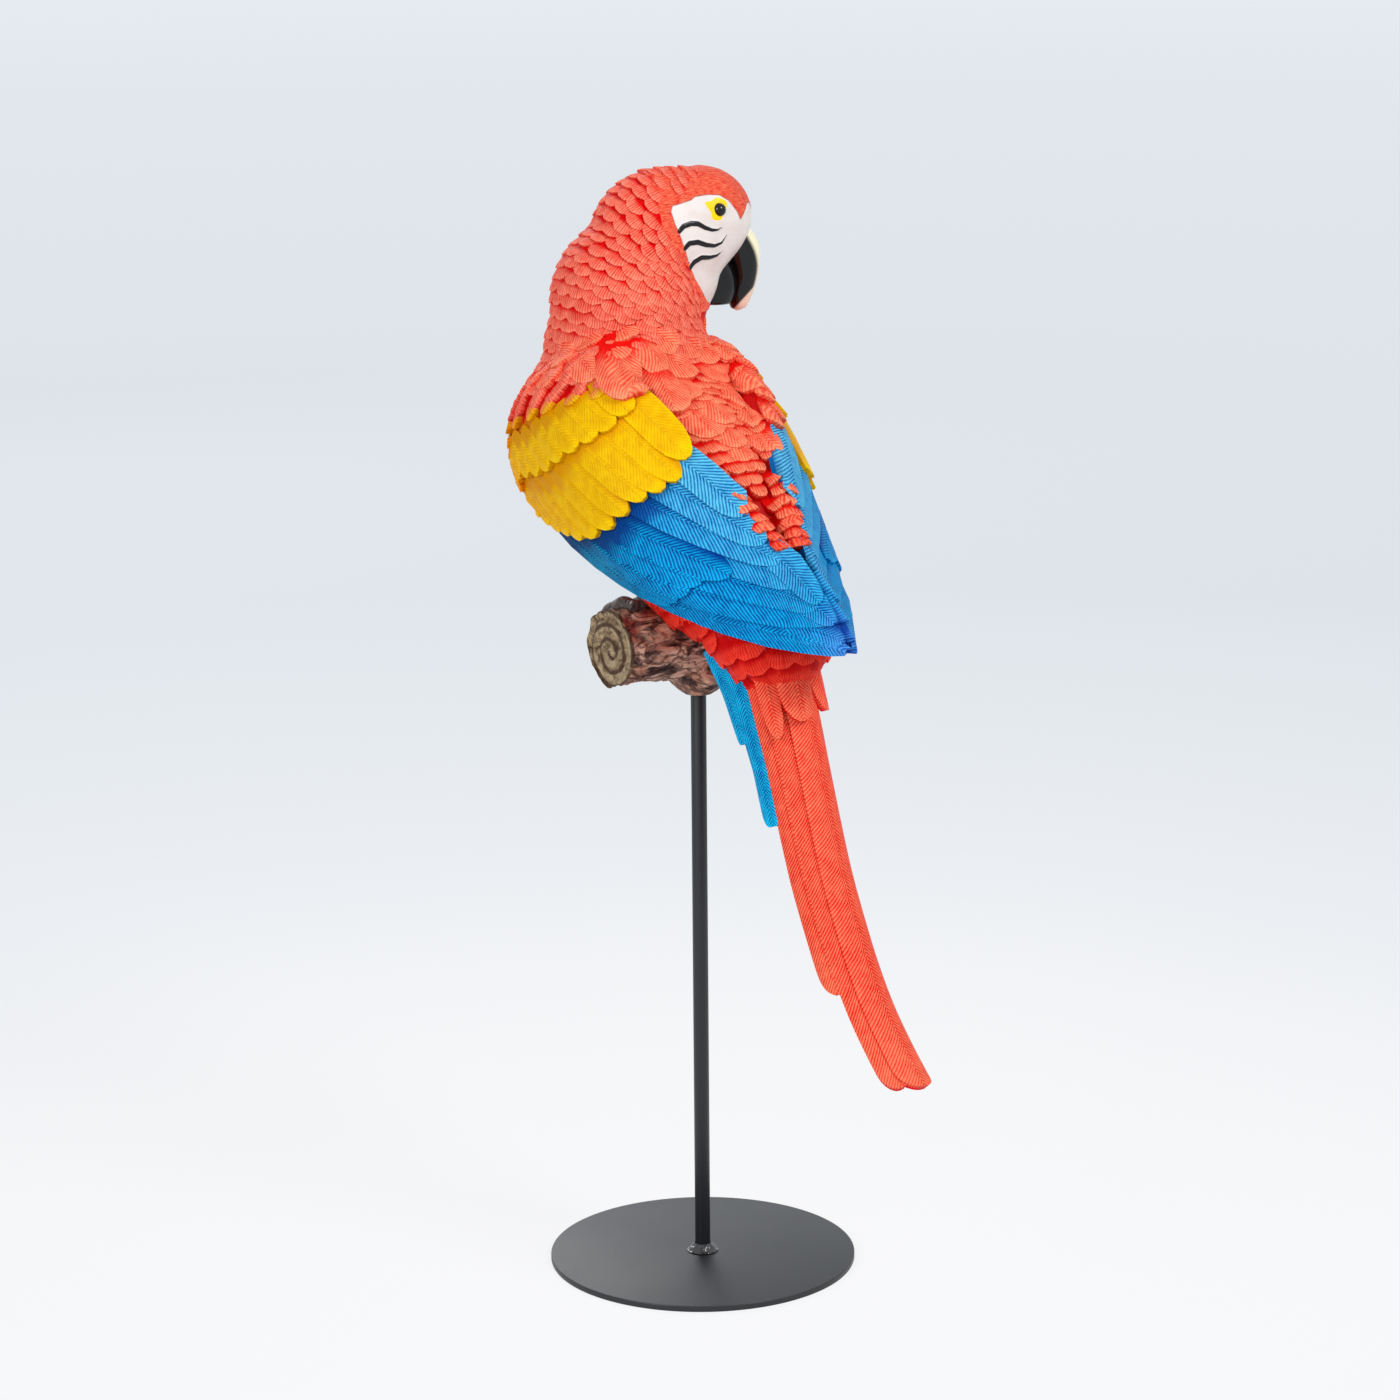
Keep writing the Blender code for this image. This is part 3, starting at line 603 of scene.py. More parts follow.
def feather(bm, outline, columns, length, width, thickness, surface, colours, carve=1.0, slant=None,
            seed=0.0, bare=SHADED_BUT_TIP):
    """One closed plate. surface(along, aside) gives a skin point, its normal and the height over it.

    The paint is darkened as painted shade before the first share of the length in bare, where other
    feathers lie over it, and clear after the second. Without a slant the barbs spread like a fan.
    """
    rows = len(outline) - 1
    vectors, tints = bm.verts.layers.float_vector, bm.verts.layers.float_color
    barbs, layouts, inward = [vectors.get(n) or vectors.new(n) for n in ("barb", "layout", "inward")]
    lows, highs = [tints.get(n) or tints.new(n) for n in ("paint_low", "paint_high")]
    grid = bmesh.ops.create_grid(bm, x_segments=columns, y_segments=rows, size=1.0)
    for vert in grid["verts"]:
        along, share = outline[round((vert.co.y + 1) / 2 * rows)]
        across = vert.co.x
        aside = across * share
        skin_point, normal, lift = surface(along, aside)
        vert.co = skin_point + normal * lift
        vert[inward] = -normal * thickness
        a, y = aside * width / 2 / MM, along * length / MM  # in millimetres, as the phase wants
        if slant is None:
            phase = math.atan2(a, y + 0.35 * length / MM) * length * 1.1 / MM / FAN_PITCH
        else:
            phase = (y - slant * abs(a) + 0.03 * a * a) / (BARB_PITCH * math.hypot(1, slant))
        vert[barbs] = (phase + seed * 7.3, a, (along - bare[0]) / (bare[1] - bare[0]))
        vert[layouts] = (along, across, carve)
        dark, light = colours(along, aside) if callable(colours) else colours
        vert[lows] = (*dark, 1.0)
        vert[highs] = (*light, 1.0)
    faces = list({face for vert in grid["verts"] for face in vert.link_faces})
    edges = list({edge for face in faces for edge in face.edges})
    plate = faces + edges + grid["verts"]
    made = bmesh.ops.extrude_face_region(bm, geom=plate, use_keep_orig=True)["geom"]
    under = [part for part in made if isinstance(part, bmesh.types.BMVert)]
    # The sides and underside get the deep paint in full painted shade, a dark seam at each feather's
    # foot
    for vert in under:
        vert.co += vert[inward]
        vert[barbs] = (*vert[barbs].xy, -1.0)
        vert[layouts] = (0.0, *vert[layouts].yz)
        vert[highs] = vert[lows]
    closed = {face for vert in under for face in vert.link_faces} | set(faces)
    bmesh.ops.recalc_face_normals(bm, faces=list(closed))


def form_feather(bm, root, tip, width, height, colours, outline=SCALE_OUTLINE, columns=4, slant=None,
                 seed=0.0, carve=1.0, tilt=0.0, lift=0.0, bare=SHADED_BUT_TIP):
    """A domed feather laid on the bird's form between two points."""
    across = (tip - root).cross(snap((root + tip) / 2)[1]).normalized() * width / 2

    def surface(along, aside):
        skin_point, normal = snap(root.lerp(tip, along) + across * aside)
        crown = height * (1.2 * along - 0.45 * aside * aside - 1.6 * max(0.0, along - 0.86))
        crown += lift * min(1.0, 1.5 * along) - 0.0006 * (1 - along)
        return skin_point, normal, crown + tilt * aside

    feather(bm, outline, columns, (tip - root).length, width, height + lift + 0.0012, surface, colours,
            carve, slant, seed, bare)


def ring_row(bm, centre, down, start, pitch, phase, length, width, height, keep, colours, carve=0.55):
    """A row of even feathers round the place where a plane cuts the form: their tips point down."""
    side = down.cross(start).normalized()
    hits = []
    for k in range(RAYS):
        angle = math.tau * k / RAYS
        hit, normal, _, _ = skin_tree.ray_cast(centre, start * math.cos(angle) + side * math.sin(angle))
        hits.append((hit, normal))
    run = [0.0]
    for (a, _), (b, _) in zip(hits, hits[1:] + hits[:1]):
        run.append(run[-1] + ((b - a).length if a and b else 0.0))
    count = max(3, round(run[-1] / pitch))
    for k in range(count):
        at = run[-1] * ((k + phase) % count) / count
        index = max(i for i in range(RAYS) if run[i] <= at)
        hit, normal = hits[index]
        following = hits[(index + 1) % RAYS][0]
        if hit is None or following is None:
            continue
        hit = hit.lerp(following, (at - run[index]) / max(run[index + 1] - run[index], 1e-9))
        if not keep(hit):
            continue
        flow = (down - normal * down.dot(normal)).normalized()
        vary = random.uniform(0.93, 1.07)
        sway = flow.cross(normal) * random.uniform(-0.0008, 0.0008)
        hit = hit + flow * random.uniform(-0.0005, 0.0005)
        form_feather(bm, hit - flow * length / 2, hit + flow * length / 2 * vary + sway, width * vary,
                     height * random.uniform(0.85, 1.1), colours(hit), seed=random.random(),
                     carve=carve)


random.seed(7)

# Breast, belly and rump: rows of round feathers down the front, between the wings, and
# deep red ones where the belly turns into the tail.
belly = bmesh.new()
BELLY_ROWS = 30
RUMP_ROWS = 6
BELLY_PATH = bird_line((0, -38, 91.5), (0, -30, 66.5), (0, -8, 43.5), (0, 15, 26.5), (0, 32, 9.5))


def under_body(point):
    """True on the front and underside, below the mantle."""
    front = point.y + 0.9 * (point.z - BRANCH_HEIGHT - 0.047) < -0.006
    return front and places.find(point)[2] > ON_WING


for row in range(BELLY_ROWS):
    share = row / (BELLY_ROWS - 1)
    down = (curve_point(BELLY_PATH, share + 0.05) - curve_point(BELLY_PATH, share - 0.05)).normalized()
    ring_row(
        belly, curve_point(BELLY_PATH, share), down, LEFT.cross(down), 0.0082, row % 2 / 2,
        0.0112, 0.0094, 0.0007, under_body, lambda hit: blend(DEEP_RED, RED, (hit.z - 0.235) * 30),
    )
for row in range(RUMP_ROWS):
    down = Vector((0, 0.42, -0.907))
    ring_row(
        belly, bird(0, 26 + 2.2 * row, 19 - 5.2 * row), down, LEFT.cross(down), 0.0090, row % 2 / 2,
        0.0120, 0.0108, 0.0016, lambda hit: places.find(hit)[2] > ON_WING, lambda hit: DEEP_RED,
    )
place("breast_feathers", belly, feather_paint)

# Tail: long quills laid like roof tiles on an arched line that sweeps back, with
# three covert feathers over their roots. The side quills are blue.
TAIL_LENGTH = 0.180
TAIL_LINE = [bird(0, y, z) for y, z in (
    (42, 11.5), (48.5, -0.5), (53, -12.7), (57.5, -25.2), (61.7, -37.7), (66, -50.5),
    (70.6, -63), (76.2, -75.2), (82.8, -88), (90.6, -100.2), (100, -111.2), (110.5, -121.7),
)]
# Place of the tip, offsets of root and tip, half width, depth, paint. The last three are
# paired with a quill on the right side, whose place is negative.
TAIL_QUILLS = [(0.993, -2.8, -2.8, 8, 0, TAIL_RED), (0.98, 6, 4.5, 6, 1.5, TAIL_RED)]
for quill in (
    (0.77, 12.5, 11.0, 5.8, 2.4, TAIL_RED), (0.42, 20.5, 19.5, 6.0, 3.2, SKY_BLUE),
    (0.235, 29.0, 26.0, 5.6, 3.6, SKY_BLUE),
):
    TAIL_QUILLS += [quill, (-quill[0], *quill[1:])]
QUILL_STEPS = 34
QUILL_TIP = 0.009  # length of a quill's round tip


def tail_surface(down, aside):
    """Point and outward direction on the tail's arch: down 0 to 1, aside in metres."""
    line = curve_point(TAIL_LINE, down)
    middle = min(max(down, 0.02), 0.98)
    flow = (curve_point(TAIL_LINE, middle + 0.02) - curve_point(TAIL_LINE, middle - 0.02)).normalized()
    back = LEFT.cross(flow)
    arch = 0.016 + 0.013 * max(0.0, 0.3 - down)
    outward = back * math.cos(aside / arch) + LEFT * math.sin(aside / arch)
    return line + (outward - back) * arch, outward


def tail_quill(bm, end, root_offset, tip_offset, half_width, depth, colours, seed):
    """A quill with parallel edges and a round tip: a negative end puts it on the right side."""
    side = math.copysign(1, end)
    end = abs(end)
    outline = []
    for k in range(QUILL_STEPS + 1):
        along = 1 - (1 - k / QUILL_STEPS) ** 1.6
        to_tip = (1 - along) * end * TAIL_LENGTH / QUILL_TIP
        outline.append((along, math.sqrt(1 - max(0.0, 0.97 - min(to_tip, 1.0)) ** 2)))

    def surface(along, aside):
        offset = side * (root_offset + (tip_offset - root_offset) * along + aside * half_width)
        skin_point, normal = tail_surface(along * end, offset * MM)
        crease = -0.0005 * max(0.0, 1 - abs(aside) * 4)
        return skin_point, normal, crease - depth * MM - abs(aside) ** 2 * 0.0013

    feather(bm, outline, 8, end * TAIL_LENGTH, half_width * 2 * MM, 0.0026, surface, colours, 1.0, 1.3,
            seed, UNSHADED)


tail = bmesh.new()
for number, quill in enumerate(TAIL_QUILLS):
    tail_quill(tail, *quill, seed=number * 0.37)
place("tail_quills", tail, feather_paint)


def skin_rings(bm, rings):
    """Closed skin over rings of points, with both ends filled."""
    loops = []
    for points in rings:
        ring = bmesh.ops.create_circle(bm, segments=len(points), radius=1.0)
        for vert, point in zip(ring["verts"], points):
            vert.co = point
        loops.append(list({edge for vert in ring["verts"] for edge in vert.link_edges}))
    for near, far in zip(loops, loops[1:]):
        bmesh.ops.bridge_loops(bm, edges=near + far)
    bmesh.ops.holes_fill(bm, edges=loops[0] + loops[-1], sides=len(rings[0]))
    bmesh.ops.recalc_face_normals(bm, faces=bm.faces)


# Solid core that fills the tail's arch from below: places down the tail and half widths
TAIL_CORE = [(0, 24), (0.12, 24), (0.22, 21.5), (0.30, 20), (0.41, 17.5), (0.48, 13.5), (0.60, 13),
             (0.74, 11.5), (0.80, 7.5), (0.90, 6), (0.96, 3.5)]
core = bmesh.new()
rings = []
for down, half_width in TAIL_CORE:
    arch = []
    for k in range(13):
        aside = 2 * k / 12 - 1
        skin_point, normal = tail_surface(down, half_width * MM * aside)
        arch.append(skin_point - normal * (1.8 + 0.15 * half_width * abs(aside)) * MM)
    rings.append(arch + [arch[-1].lerp(arch[0], k / 12) for k in range(1, 12)])
skin_rings(core, rings)
low_layer = core.verts.layers.float_color.new("paint_low")
for vert in core.verts:
    vert[low_layer] = (*DEEP_RED[0], 1.0)
place("tail_core", core, painted_skin)

coverts = bmesh.new()
# Place of root and tip down the tail, offset of root and tip, half width, height over the quills
TAIL_COVERTS = [(-0.05, 0.24, 10.5, 10, 3.4, 0.5), (-0.05, 0.20, -9, -11.5, 6, 1.1),
                (-0.05, 0.215, 1, 1.5, 6, 1.7)]
for number, (first, last, root_offset, tip_offset, half_width, lift) in enumerate(TAIL_COVERTS):
    def covert(along, aside):
        offset = root_offset + (tip_offset - root_offset) * along + aside * half_width
        skin_point, normal = tail_surface(first + (last - first) * along, offset * MM)
        return skin_point, normal, (lift + 0.5 * along - 1.1 * aside * aside) * MM
    feather(coverts, QUILL_OUTLINE, 6, (last - first) * TAIL_LENGTH, half_width * 2 * MM, 0.0022,
            covert, TAIL_RED, 0.9, 1.3, number * 0.61, (0.0, 0.3))
place("tail_coverts", coverts, feather_paint)

# Wings: rows of feathers from the tip to the shoulder, each row over the next. In
# a row, each inner feather lies over its outer neighbour, so its outer edge is raised.


def wing_sheet(u, v):
    """Point on the left wing's outside, carried on past its edges."""
    inside = Vector((min(max(u, 0.01), 0.99), min(max(v, 0.01), 0.99)))
    point = wing_point(*inside)
    along = (wing_point(inside.x + 0.01, inside.y) - wing_point(inside.x - 0.01, inside.y)) / 0.02
    up = (wing_point(inside.x, inside.y + 0.01) - wing_point(inside.x, inside.y - 0.01)) / 0.02
    point = point + along * (u - inside.x) + up * (v - inside.y)
    return point.lerp(snap(point)[0], min(max(-u / 0.05, 0.0), 1.0))


sheet = bmesh.new()
grid = bmesh.ops.create_grid(sheet, x_segments=72, y_segments=44, size=1.0)
for vert in grid["verts"]:
    vert.co = wing_sheet(0.45 + 0.64 * vert.co.x, 0.5 + 0.64 * vert.co.y)
sheet.normal_update()
if sum(face.normal.x for face in sheet.faces) < 0:
    bmesh.ops.reverse_faces(sheet, faces=sheet.faces)
sheet_tree = BVHTree.FromBMesh(sheet)
sheet.free()


def wing_feather(bm, side, places_uv, width, height, lift, tilt, outline, columns, slant, carve,
                 colours, seed, bare=SHADED_ROOT):
    """A feather on a wing along (u, v) places from root to tip, laid on the sheet of its outside."""
    path = [Vector((*pair, 0)) for pair in places_uv]
    mirror = Vector((side, 1, 1))

    def middle(along):
        spot = curve_point(path, along)
        return wing_sheet(spot.x, spot.y)

    length = sum((middle((k + 1) / 6) - middle(k / 6)).length for k in range(6))

    def surface(along, aside):
        here = middle(along)
        ahead = middle(min(along + 0.04, 1.0)) - middle(max(min(along, 0.98) - 0.04, 0.0))
        _, normal, _, _ = sheet_tree.find_nearest(here)
        across = ahead.cross(normal).normalized()
        if across.z < 0:
            across = -across
        point, normal, _, _ = sheet_tree.find_nearest(here + across * aside * width / 2)
        outward = snap(point)[1]
        if normal.dot(outward) < 0.3:
            normal = outward
        rise = height * (0.15 + 0.85 * along) - 0.3 * height * aside * aside - tilt * 0.5 * aside
        rise += lift + 0.00025 * max(0.0, 1 - abs(aside) * 5) - 0.0008 * (1 - along)
        return point * mirror, normal * mirror, rise

    feather(bm, outline, columns, length, width, height + tilt + 0.0014, surface, colours, carve,
            slant, seed, bare)


def shaded_under_edge(pair, aside):
    """The pair, with painted shade where the next feather's edge lies over it."""
    return blend(pair, (pair[0], pair[0]), 2.4 * (aside - 0.15))


def blue_along(path, covered):
    """Paint of a blue feather at each place along it, with painted shade where the next one covers its
    edge.
    """
    def colours(along, aside):
        spot = curve_point([Vector((*pair, 0)) for pair in path], along)
        return shaded_under_edge(blue_paint(spot.x, spot.y), aside if covered else 0.0)
    return colours


# Blue feathers, lowest first: places from root to tip, width, lift and tilt in millimetres
BLUE_FEATHERS = [
    ([(0.30, 0.02), (0.66, 0.02), (1.005, 0.36)], 11, 0.2, 0.5),
    ([(0.39, 0.14), (0.75, 0.18), (1, 0.68)], 12, 0.3, 0.9),
    ([(0.42, 0.28), (0.74, 0.38), (0.955, 0.82)], 12.5, 0.5, 1),
    ([(0.44, 0.38), (0.73, 0.56), (0.92, 0.88)], 12, 0.6, 1),
    ([(0.50, 0.50), (0.70, 0.70), (0.86, 0.93)], 12, 0.5, 1.1),
    ([(0.70, 0.66), (0.85, 0.80), (0.975, 0.95)], 10, 0.9, 1),
    ([(0.62, 0.84), (0.78, 0.93), (0.925, 0.975)], 9, 1.2, 0.9),
    ([(0.16, 0.02), (0.40, 0.03), (0.60, 0.06)], 8, 0.3, 0.6),
    ([(0.22, 0.13), (0.43, 0.14), (0.63, 0.19)], 9, 0.4, 0.8),
    ([(0.28, 0.26), (0.46, 0.27), (0.66, 0.32)], 10, 0.5, 0.9),
    ([(0.36, 0.37), (0.52, 0.40), (0.68, 0.44)], 11.5, 0.6, 1),
    ([(0.40, 0.46), (0.56, 0.52), (0.72, 0.58)], 13, 0.8, 1.2),
    ([(0.42, 0.60), (0.60, 0.70), (0.795, 0.92)], 11.5, 0.7, 1.1),
    ([(0.43, 0.72), (0.59, 0.81), (0.745, 0.93)], 11.5, 0.9, 1.1),
    ([(0.42, 0.88), (0.55, 0.92), (0.68, 0.95)], 12, 1.1, 1.1),
]
# Yellow feathers: tips and widths of the lower row, then of the upper row
YELLOW_LOWER = [
    (0.12, 0, 7), (0.19, 0.05, 7), (0.25, 0.11, 7.5), (0.30, 0.19, 8), (0.36, 0.28, 8.5),
    (0.41, 0.37, 9), (0.45, 0.46, 9), (0.475, 0.55, 9.5), (0.50, 0.65, 10), (0.525, 0.74, 10.5),
    (0.54, 0.83, 11), (0.53, 0.94, 12),
]
YELLOW_UPPER = [
    (0.03, 0.08, 6.5), (0.05, 0.18, 6.5), (0.08, 0.27, 6.5), (0.13, 0.35, 7), (0.18, 0.42, 7),
    (0.225, 0.49, 7), (0.265, 0.57, 7.5), (0.30, 0.65, 8), (0.33, 0.73, 8.5), (0.35, 0.81, 9),
    (0.36, 0.91, 10),
]
SHOULDER_ROWS = 10
SHOULDER_COLUMNS = 12
for side, name in ((1, "left"), (-1, "right")):
    wing = bmesh.new()
    for number, (path, width, lift, tilt) in enumerate(BLUE_FEATHERS):
        wing_feather(wing, side, path, width * MM, 0.0012, lift * MM, tilt * MM, QUILL_OUTLINE, 8,
                     1.25, 1.0, blue_along(path, path[2][1] < 0.93), number * 0.37,
                     SHADED_ROOT if side > 0 else (-0.2, 0.1))
    for number, (u, v, width) in enumerate(YELLOW_LOWER):
        if side < 0 and v > 0.8:
            continue
        path = [(u - 0.26, v + 0.02), (u - 0.13, v + 0.015), (u, v)]
        pair = blend(blend(ORANGE, AMBER, u * 8), YELLOW, 2.4 * v)
        wing_feather(wing, side, path, width * MM, 0.0013, (0.8 + 0.4 * v) * MM, 0.0009, QUILL_OUTLINE,
                     6, 1.3, 0.3, lambda along, aside: shaded_under_edge(pair, aside if v < 0.9 else 0.0),
                     number * 0.61)
    for number, (u, v, width) in enumerate(YELLOW_UPPER):
        if side < 0 and v > 0.75:
            continue
        path = [(u - 0.16, v + 0.02), (u - 0.08, v + 0.01), (u, v)]
        pair = blend(blend(ORANGE, AMBER, u * 10), YELLOW, 2.2 * v - 0.2)
        wing_feather(wing, side, path, width * MM, 0.0013, (1.3 + 0.4 * v) * MM, 0.0007, ROUND_OUTLINE,
                     6, 1.4, 0.35, pair, number * 0.43)
    # Red scales of the shoulder, whose lowest row has orange tips
    for row in range(SHOULDER_ROWS):
        for k in range(SHOULDER_COLUMNS):
            v = 0.088 * (k + 0.5 * (row % 2)) + random.uniform(-0.008, 0.008)
            u = red_end(min(v, 0.9)) - 0.031 * row + random.uniform(-0.003, 0.003)
            if v > 0.92 + 0.04 * row:
                continue
            root, tip = [snap(wing_sheet(u - back, v + 0.4 * back))[0] for back in (0.075, 0.0)]
            for point in (root, tip):
                point.x *= side
            pair = blend(DEEP_RED, RED, 1.6 * v - 0.1)
            warm = blend(ORANGE, YELLOW, v)
            tipped = pair if row else lambda along, aside: blend(pair, warm, 2.2 * (along - 0.5))
            form_feather(wing, root, tip, (5.6 + 0.8 * v) * MM, 0.0014, tipped, seed=random.random(),
                         carve=0.5, lift=max(0.2, 1.2 - 0.25 * row) * MM, bare=(0.3, 0.6))
    place(name + "_wing_feathers", wing, feather_paint)

# Mantle: large fan-shaped feathers at the foot of the neck, smaller ones down the
# back, narrowing between the wings to a point over the rump.
MANTLE_EDGE = bird_line((31, -36, 82.5), (27, -12, 80.5), (18, 15, 66.5), (9, 36, 49.5), (2.5, 51, 36.5))
MANTLE_SPINE = bird_line((0, -6, 89.5), (0, 6, 78.5), (0, 19, 66.5), (0, 36, 51.5), (0, 51, 37.5))
# Large feathers, lower ones first: root, tip and width in millimetres
MANTLE_FANS = [
    ((-15.4, 12.6, 67.4), (-14.5, 22.8, 60.8), 7), ((0.5, 15.2, 65.4), (-3.4, 21.7, 58.6), 8),
    ((-11, 10.6, 67.6), (-12.5, 20.3, 60.7), 8), ((0.6, 8.9, 71), (-3, 18.3, 62.2), 9.5),
    ((-19.8, 4.5, 75.7), (-21.5, 13.9, 66.2), 8.5), ((-15.7, -0.6, 74.7), (-14.5, 12.5, 66.7), 9),
    ((6.9, 0.2, 77), (4, 14.6, 65.7), 12.5), ((-0.7, -2, 79.2), (-3.3, 11.6, 68.5), 10.5),
    ((-28, 0, 76), (-29.5, 9, 68.5), 8.5), ((-21.9, -3.4, 81), (-24.6, 5.4, 72.9), 8.5),
    ((-15, -11.4, 82.4), (-16, 4.1, 71.2), 10), ((-28, -9, 81), (-30.5, 0.5, 74), 8.5),
    ((-23.1, -10.1, 84.2), (-22.3, 3.9, 77), 8.5), ((10.1, -13.9, 86.9), (12.5, 5, 71.7), 13),
    ((8.4, -12.2, 85.3), (2.6, 2.5, 76), 11.5), ((17.6, -19.7, 88.5), (24.7, 0.6, 78.3), 13),
    ((-10.1, -14.3, 88.2), (-17, -6.5, 78.5), 10), ((-25.9, -17.8, 87.2), (-28.5, -6.6, 81.3), 8.5),
    ((-21.8, -23, 91.1), (-23.9, -10.6, 84.9), 8.5), ((5.3, -13.5, 93.3), (-3.8, -6, 81.6), 10.5),
    ((-8.7, -14.9, 94.7), (-19.1, -14.1, 85.6), 9), ((17.4, -21.2, 94.7), (17.9, -16.3, 86), 10),
    ((11.9, -16.6, 94.7), (9.3, -10.3, 84), 10.5), ((23.9, -31.5, 90.2), (27.9, -13, 83.4), 10.5),
    ((0.2, -13.7, 97.2), (-11.9, -14.3, 88.4), 9), ((8.8, -15.4, 98.6), (-1, -12.8, 91.4), 9),
    ((-34, -34, 78), (-36.5, -19, 73), 10), ((-31, -25, 82), (-35, -11, 76), 10),
    ((-27.5, -40, 86), (-33, -26, 81), 10), ((-22.9, -28.9, 93.2), (-28.6, -17.6, 86.4), 9.5),
    ((-21, -50, 92), (-28, -37, 88), 10), ((-18, -40, 97), (-24.5, -28, 92), 10),
    ((-10, -15.8, 96.7), (-17, -17, 89.5), 9), ((-17, -27, 98), (-22, -18.5, 91), 9.5),
    ((30, -42, 86), (34, -29, 82), 10), ((24, -42, 93), (29.5, -29, 87), 10),
    ((20.1, -29.6, 97.7), (21, -23.5, 90.1), 9.5), ((15.5, -20.7, 99.5), (13.5, -16.3, 92), 9),
]
# Place of the tips down the back and width of the small feathers below them
MANTLE_ROWS = [
    (0.20, 8), (0.26, 7.8), (0.32, 7.4), (0.38, 7), (0.44, 6.6), (0.49, 6.5), (0.54, 6.4), (0.59, 6.3),
    (0.64, 6.2), (0.69, 6.1), (0.74, 6), (0.79, 5.9), (0.84, 5.8), (0.89, 5.6), (0.94, 5.4), (0.99, 5.2),
]


def mantle_point(across, down):
    """Point on the back: across -1 at the right wing to 1 at the left, down 0 to 1."""
    edge = curve_point(MANTLE_EDGE, down)
    edge.x *= math.copysign(1.0, across)
    return snap(curve_point(MANTLE_SPINE, down).lerp(edge, abs(across)))[0]


mantle = bmesh.new()
for row, (down, width) in reversed(list(enumerate(MANTLE_ROWS))):
    reach = curve_point(MANTLE_EDGE, down).x / MM
    count = max(4, round(2.2 * reach / (width * 0.65)))
    for k in range(count):
        across = (-1 + 2 * (k + 0.5 * (row % 2)) / (count - 0.5)) * (1.0 if down < 0.55 else 1.1)
        if abs(across) > 0.7 and 0.35 < down < 0.72:
            continue
        tip = mantle_point(across, down)
        root = mantle_point(across, down - 0.14)
        root = tip + (root - tip).normalized() * 0.0095
        form_feather(mantle, root, tip, width * MM * random.uniform(0.98, 1.12), 0.0013,
                     blend(CORAL, DEEP_RED, (down - 0.8) * 3), seed=random.random(), carve=0.7,
                     lift=(0.4 if down < 0.6 else 1.8) * MM)
for number, (root, tip, width) in enumerate(MANTLE_FANS):
    root, tip = snap(bird(*root))[0], snap(bird(*tip))[0]
    # The fans by the left wing lie on its yellow feathers, the uppermost close to the neck
    lift = 0.6
    if tip.x > 0.010 and tip.y > -0.015 and tip.z < 0.292:
        lift = 2.6
    elif tip.z > 0.2955:
        lift = 0.1
    root = snap(tip + (root - tip) * 1.25)[0]
    form_feather(mantle, root, tip, width * 1.15 * MM, 0.0018, CORAL, ROUND_OUTLINE, 8, 1.6,
                 number * 0.29, 0.6, 0.0002, lift * MM, (0.2, 0.58))
place("mantle_feathers", mantle, feather_paint)

# Head and neck: rows of small fan-shaped scales that wheel round the throat. The
# face is left free of them.
FAN_PIVOT = head_point(10, 0, -33)
FAN_ROWS = 24
head_scales = bmesh.new()


def scaled_head(point, row):
    """True where a row has scales: not on the bare face or forehead, fewer in the narrow throat."""
    forward, right, up = head_place(point)
    bare_edge = -12.2 + 0.437 * (8.7 - min(up, 8.7))
    pivot_distance = math.hypot(forward - 10, up + 33)
    if pivot_distance < 16 and row % 2 or pivot_distance < 9 and row % 4:
        return False
    if row > 22 and point.y > -0.030:
        return False
    return forward < (3.0 if up > 13.5 and abs(right) < 13 else bare_edge)


for row in reversed(range(FAN_ROWS)):
    lean = math.radians(98 + 4.0 * row)
    reach = HEAD_FRONT * math.cos(lean) + UP * math.sin(lean)
    down = HEAD_FRONT * -math.sin(lean) + UP * math.cos(lean)
    growth = 0.92 + 0.01 * row
    ring_row(
        head_scales, FAN_PIVOT + reach * 0.034, down, reach, 0.0066 * growth, row % 2 / 2,
        0.0092 * growth, 0.0082 * growth, 0.0012, lambda hit: scaled_head(hit, row), lambda hit: RED,
    )
place("head_scales", head_scales, feather_paint)

# Face: bare white skin with raised black lines, a yellow patch round each eye and
# fine red down on the forehead. Outlines are forward and up in the head's millimetres.
WHITE_FACE = [
    (-10.3, 8.7), (-9.5, 10.4), (-6.2, 11.1), (-3.1, 11.8), (-1.4, 12.8), (3.8, 13.1), (7.6, 12.8),
    (10.5, 11.1), (11.9, 9.3), (13.5, 7.4), (14.7, 4.8), (16.3, 6.4), (18.5, 9.5), (26, 9), (26, -24),
    (9, -24), (3.7, -20.6), (1.1, -17.4), (-2.1, -13), (-4.5, -7.9), (-6.6, -2.7), (-8.2, 1.8),
    (-9.4, 4.8),
]
YELLOW_PATCH = [
    (1.8, 10.7), (4.4, 11.2), (6.5, 12.2), (9.5, 11.1), (9.8, 9.4), (8.3, 6.9), (7.2, 5.2), (4.2, 5.5),
    (3.7, 7.6),
]
FACE_LINES = [
    [(-8.3, 2.5), (-6.6, 4.1), (-4.1, 4.8), (-1.7, 4.6), (0.9, 3.2), (3.5, 2.3), (5.6, 2.2), (8, 3.1)],
    [(-6.5, -2.9), (-4.8, -1.3), (-1.9, -1.1), (1.3, -2.2), (4.5, -2.7), (7.3, -2), (9.4, 0.5)],
    [(-4.2, -9.2), (-2.5, -7.3), (-0.1, -6.1), (3.1, -6.3), (5.8, -5.9), (8.1, -4.5)],
]


def outline_distance(point, outline):
    """Distance in millimetres inside a closed outline, negative outside."""
    sides = list(zip(outline, outline[1:] + outline[:1]))
    nearest = min((point - closest_on(point, Vector(a), Vector(b))).length for a, b in sides)
    crossings = 0
    for (ax, ay), (bx, by) in sides:
        if (ay > point.y) != (by > point.y) and point.x < ax + (bx - ax) * (point.y - ay) / (by - ay):
            crossings += 1
    return nearest if crossings % 2 else -nearest


def closest_on(point, a, b):
    foot, share = geometry.intersect_point_line(point, a, b)
    return Vector(a if share < 0 else b if share > 1 else foot).to_2d()


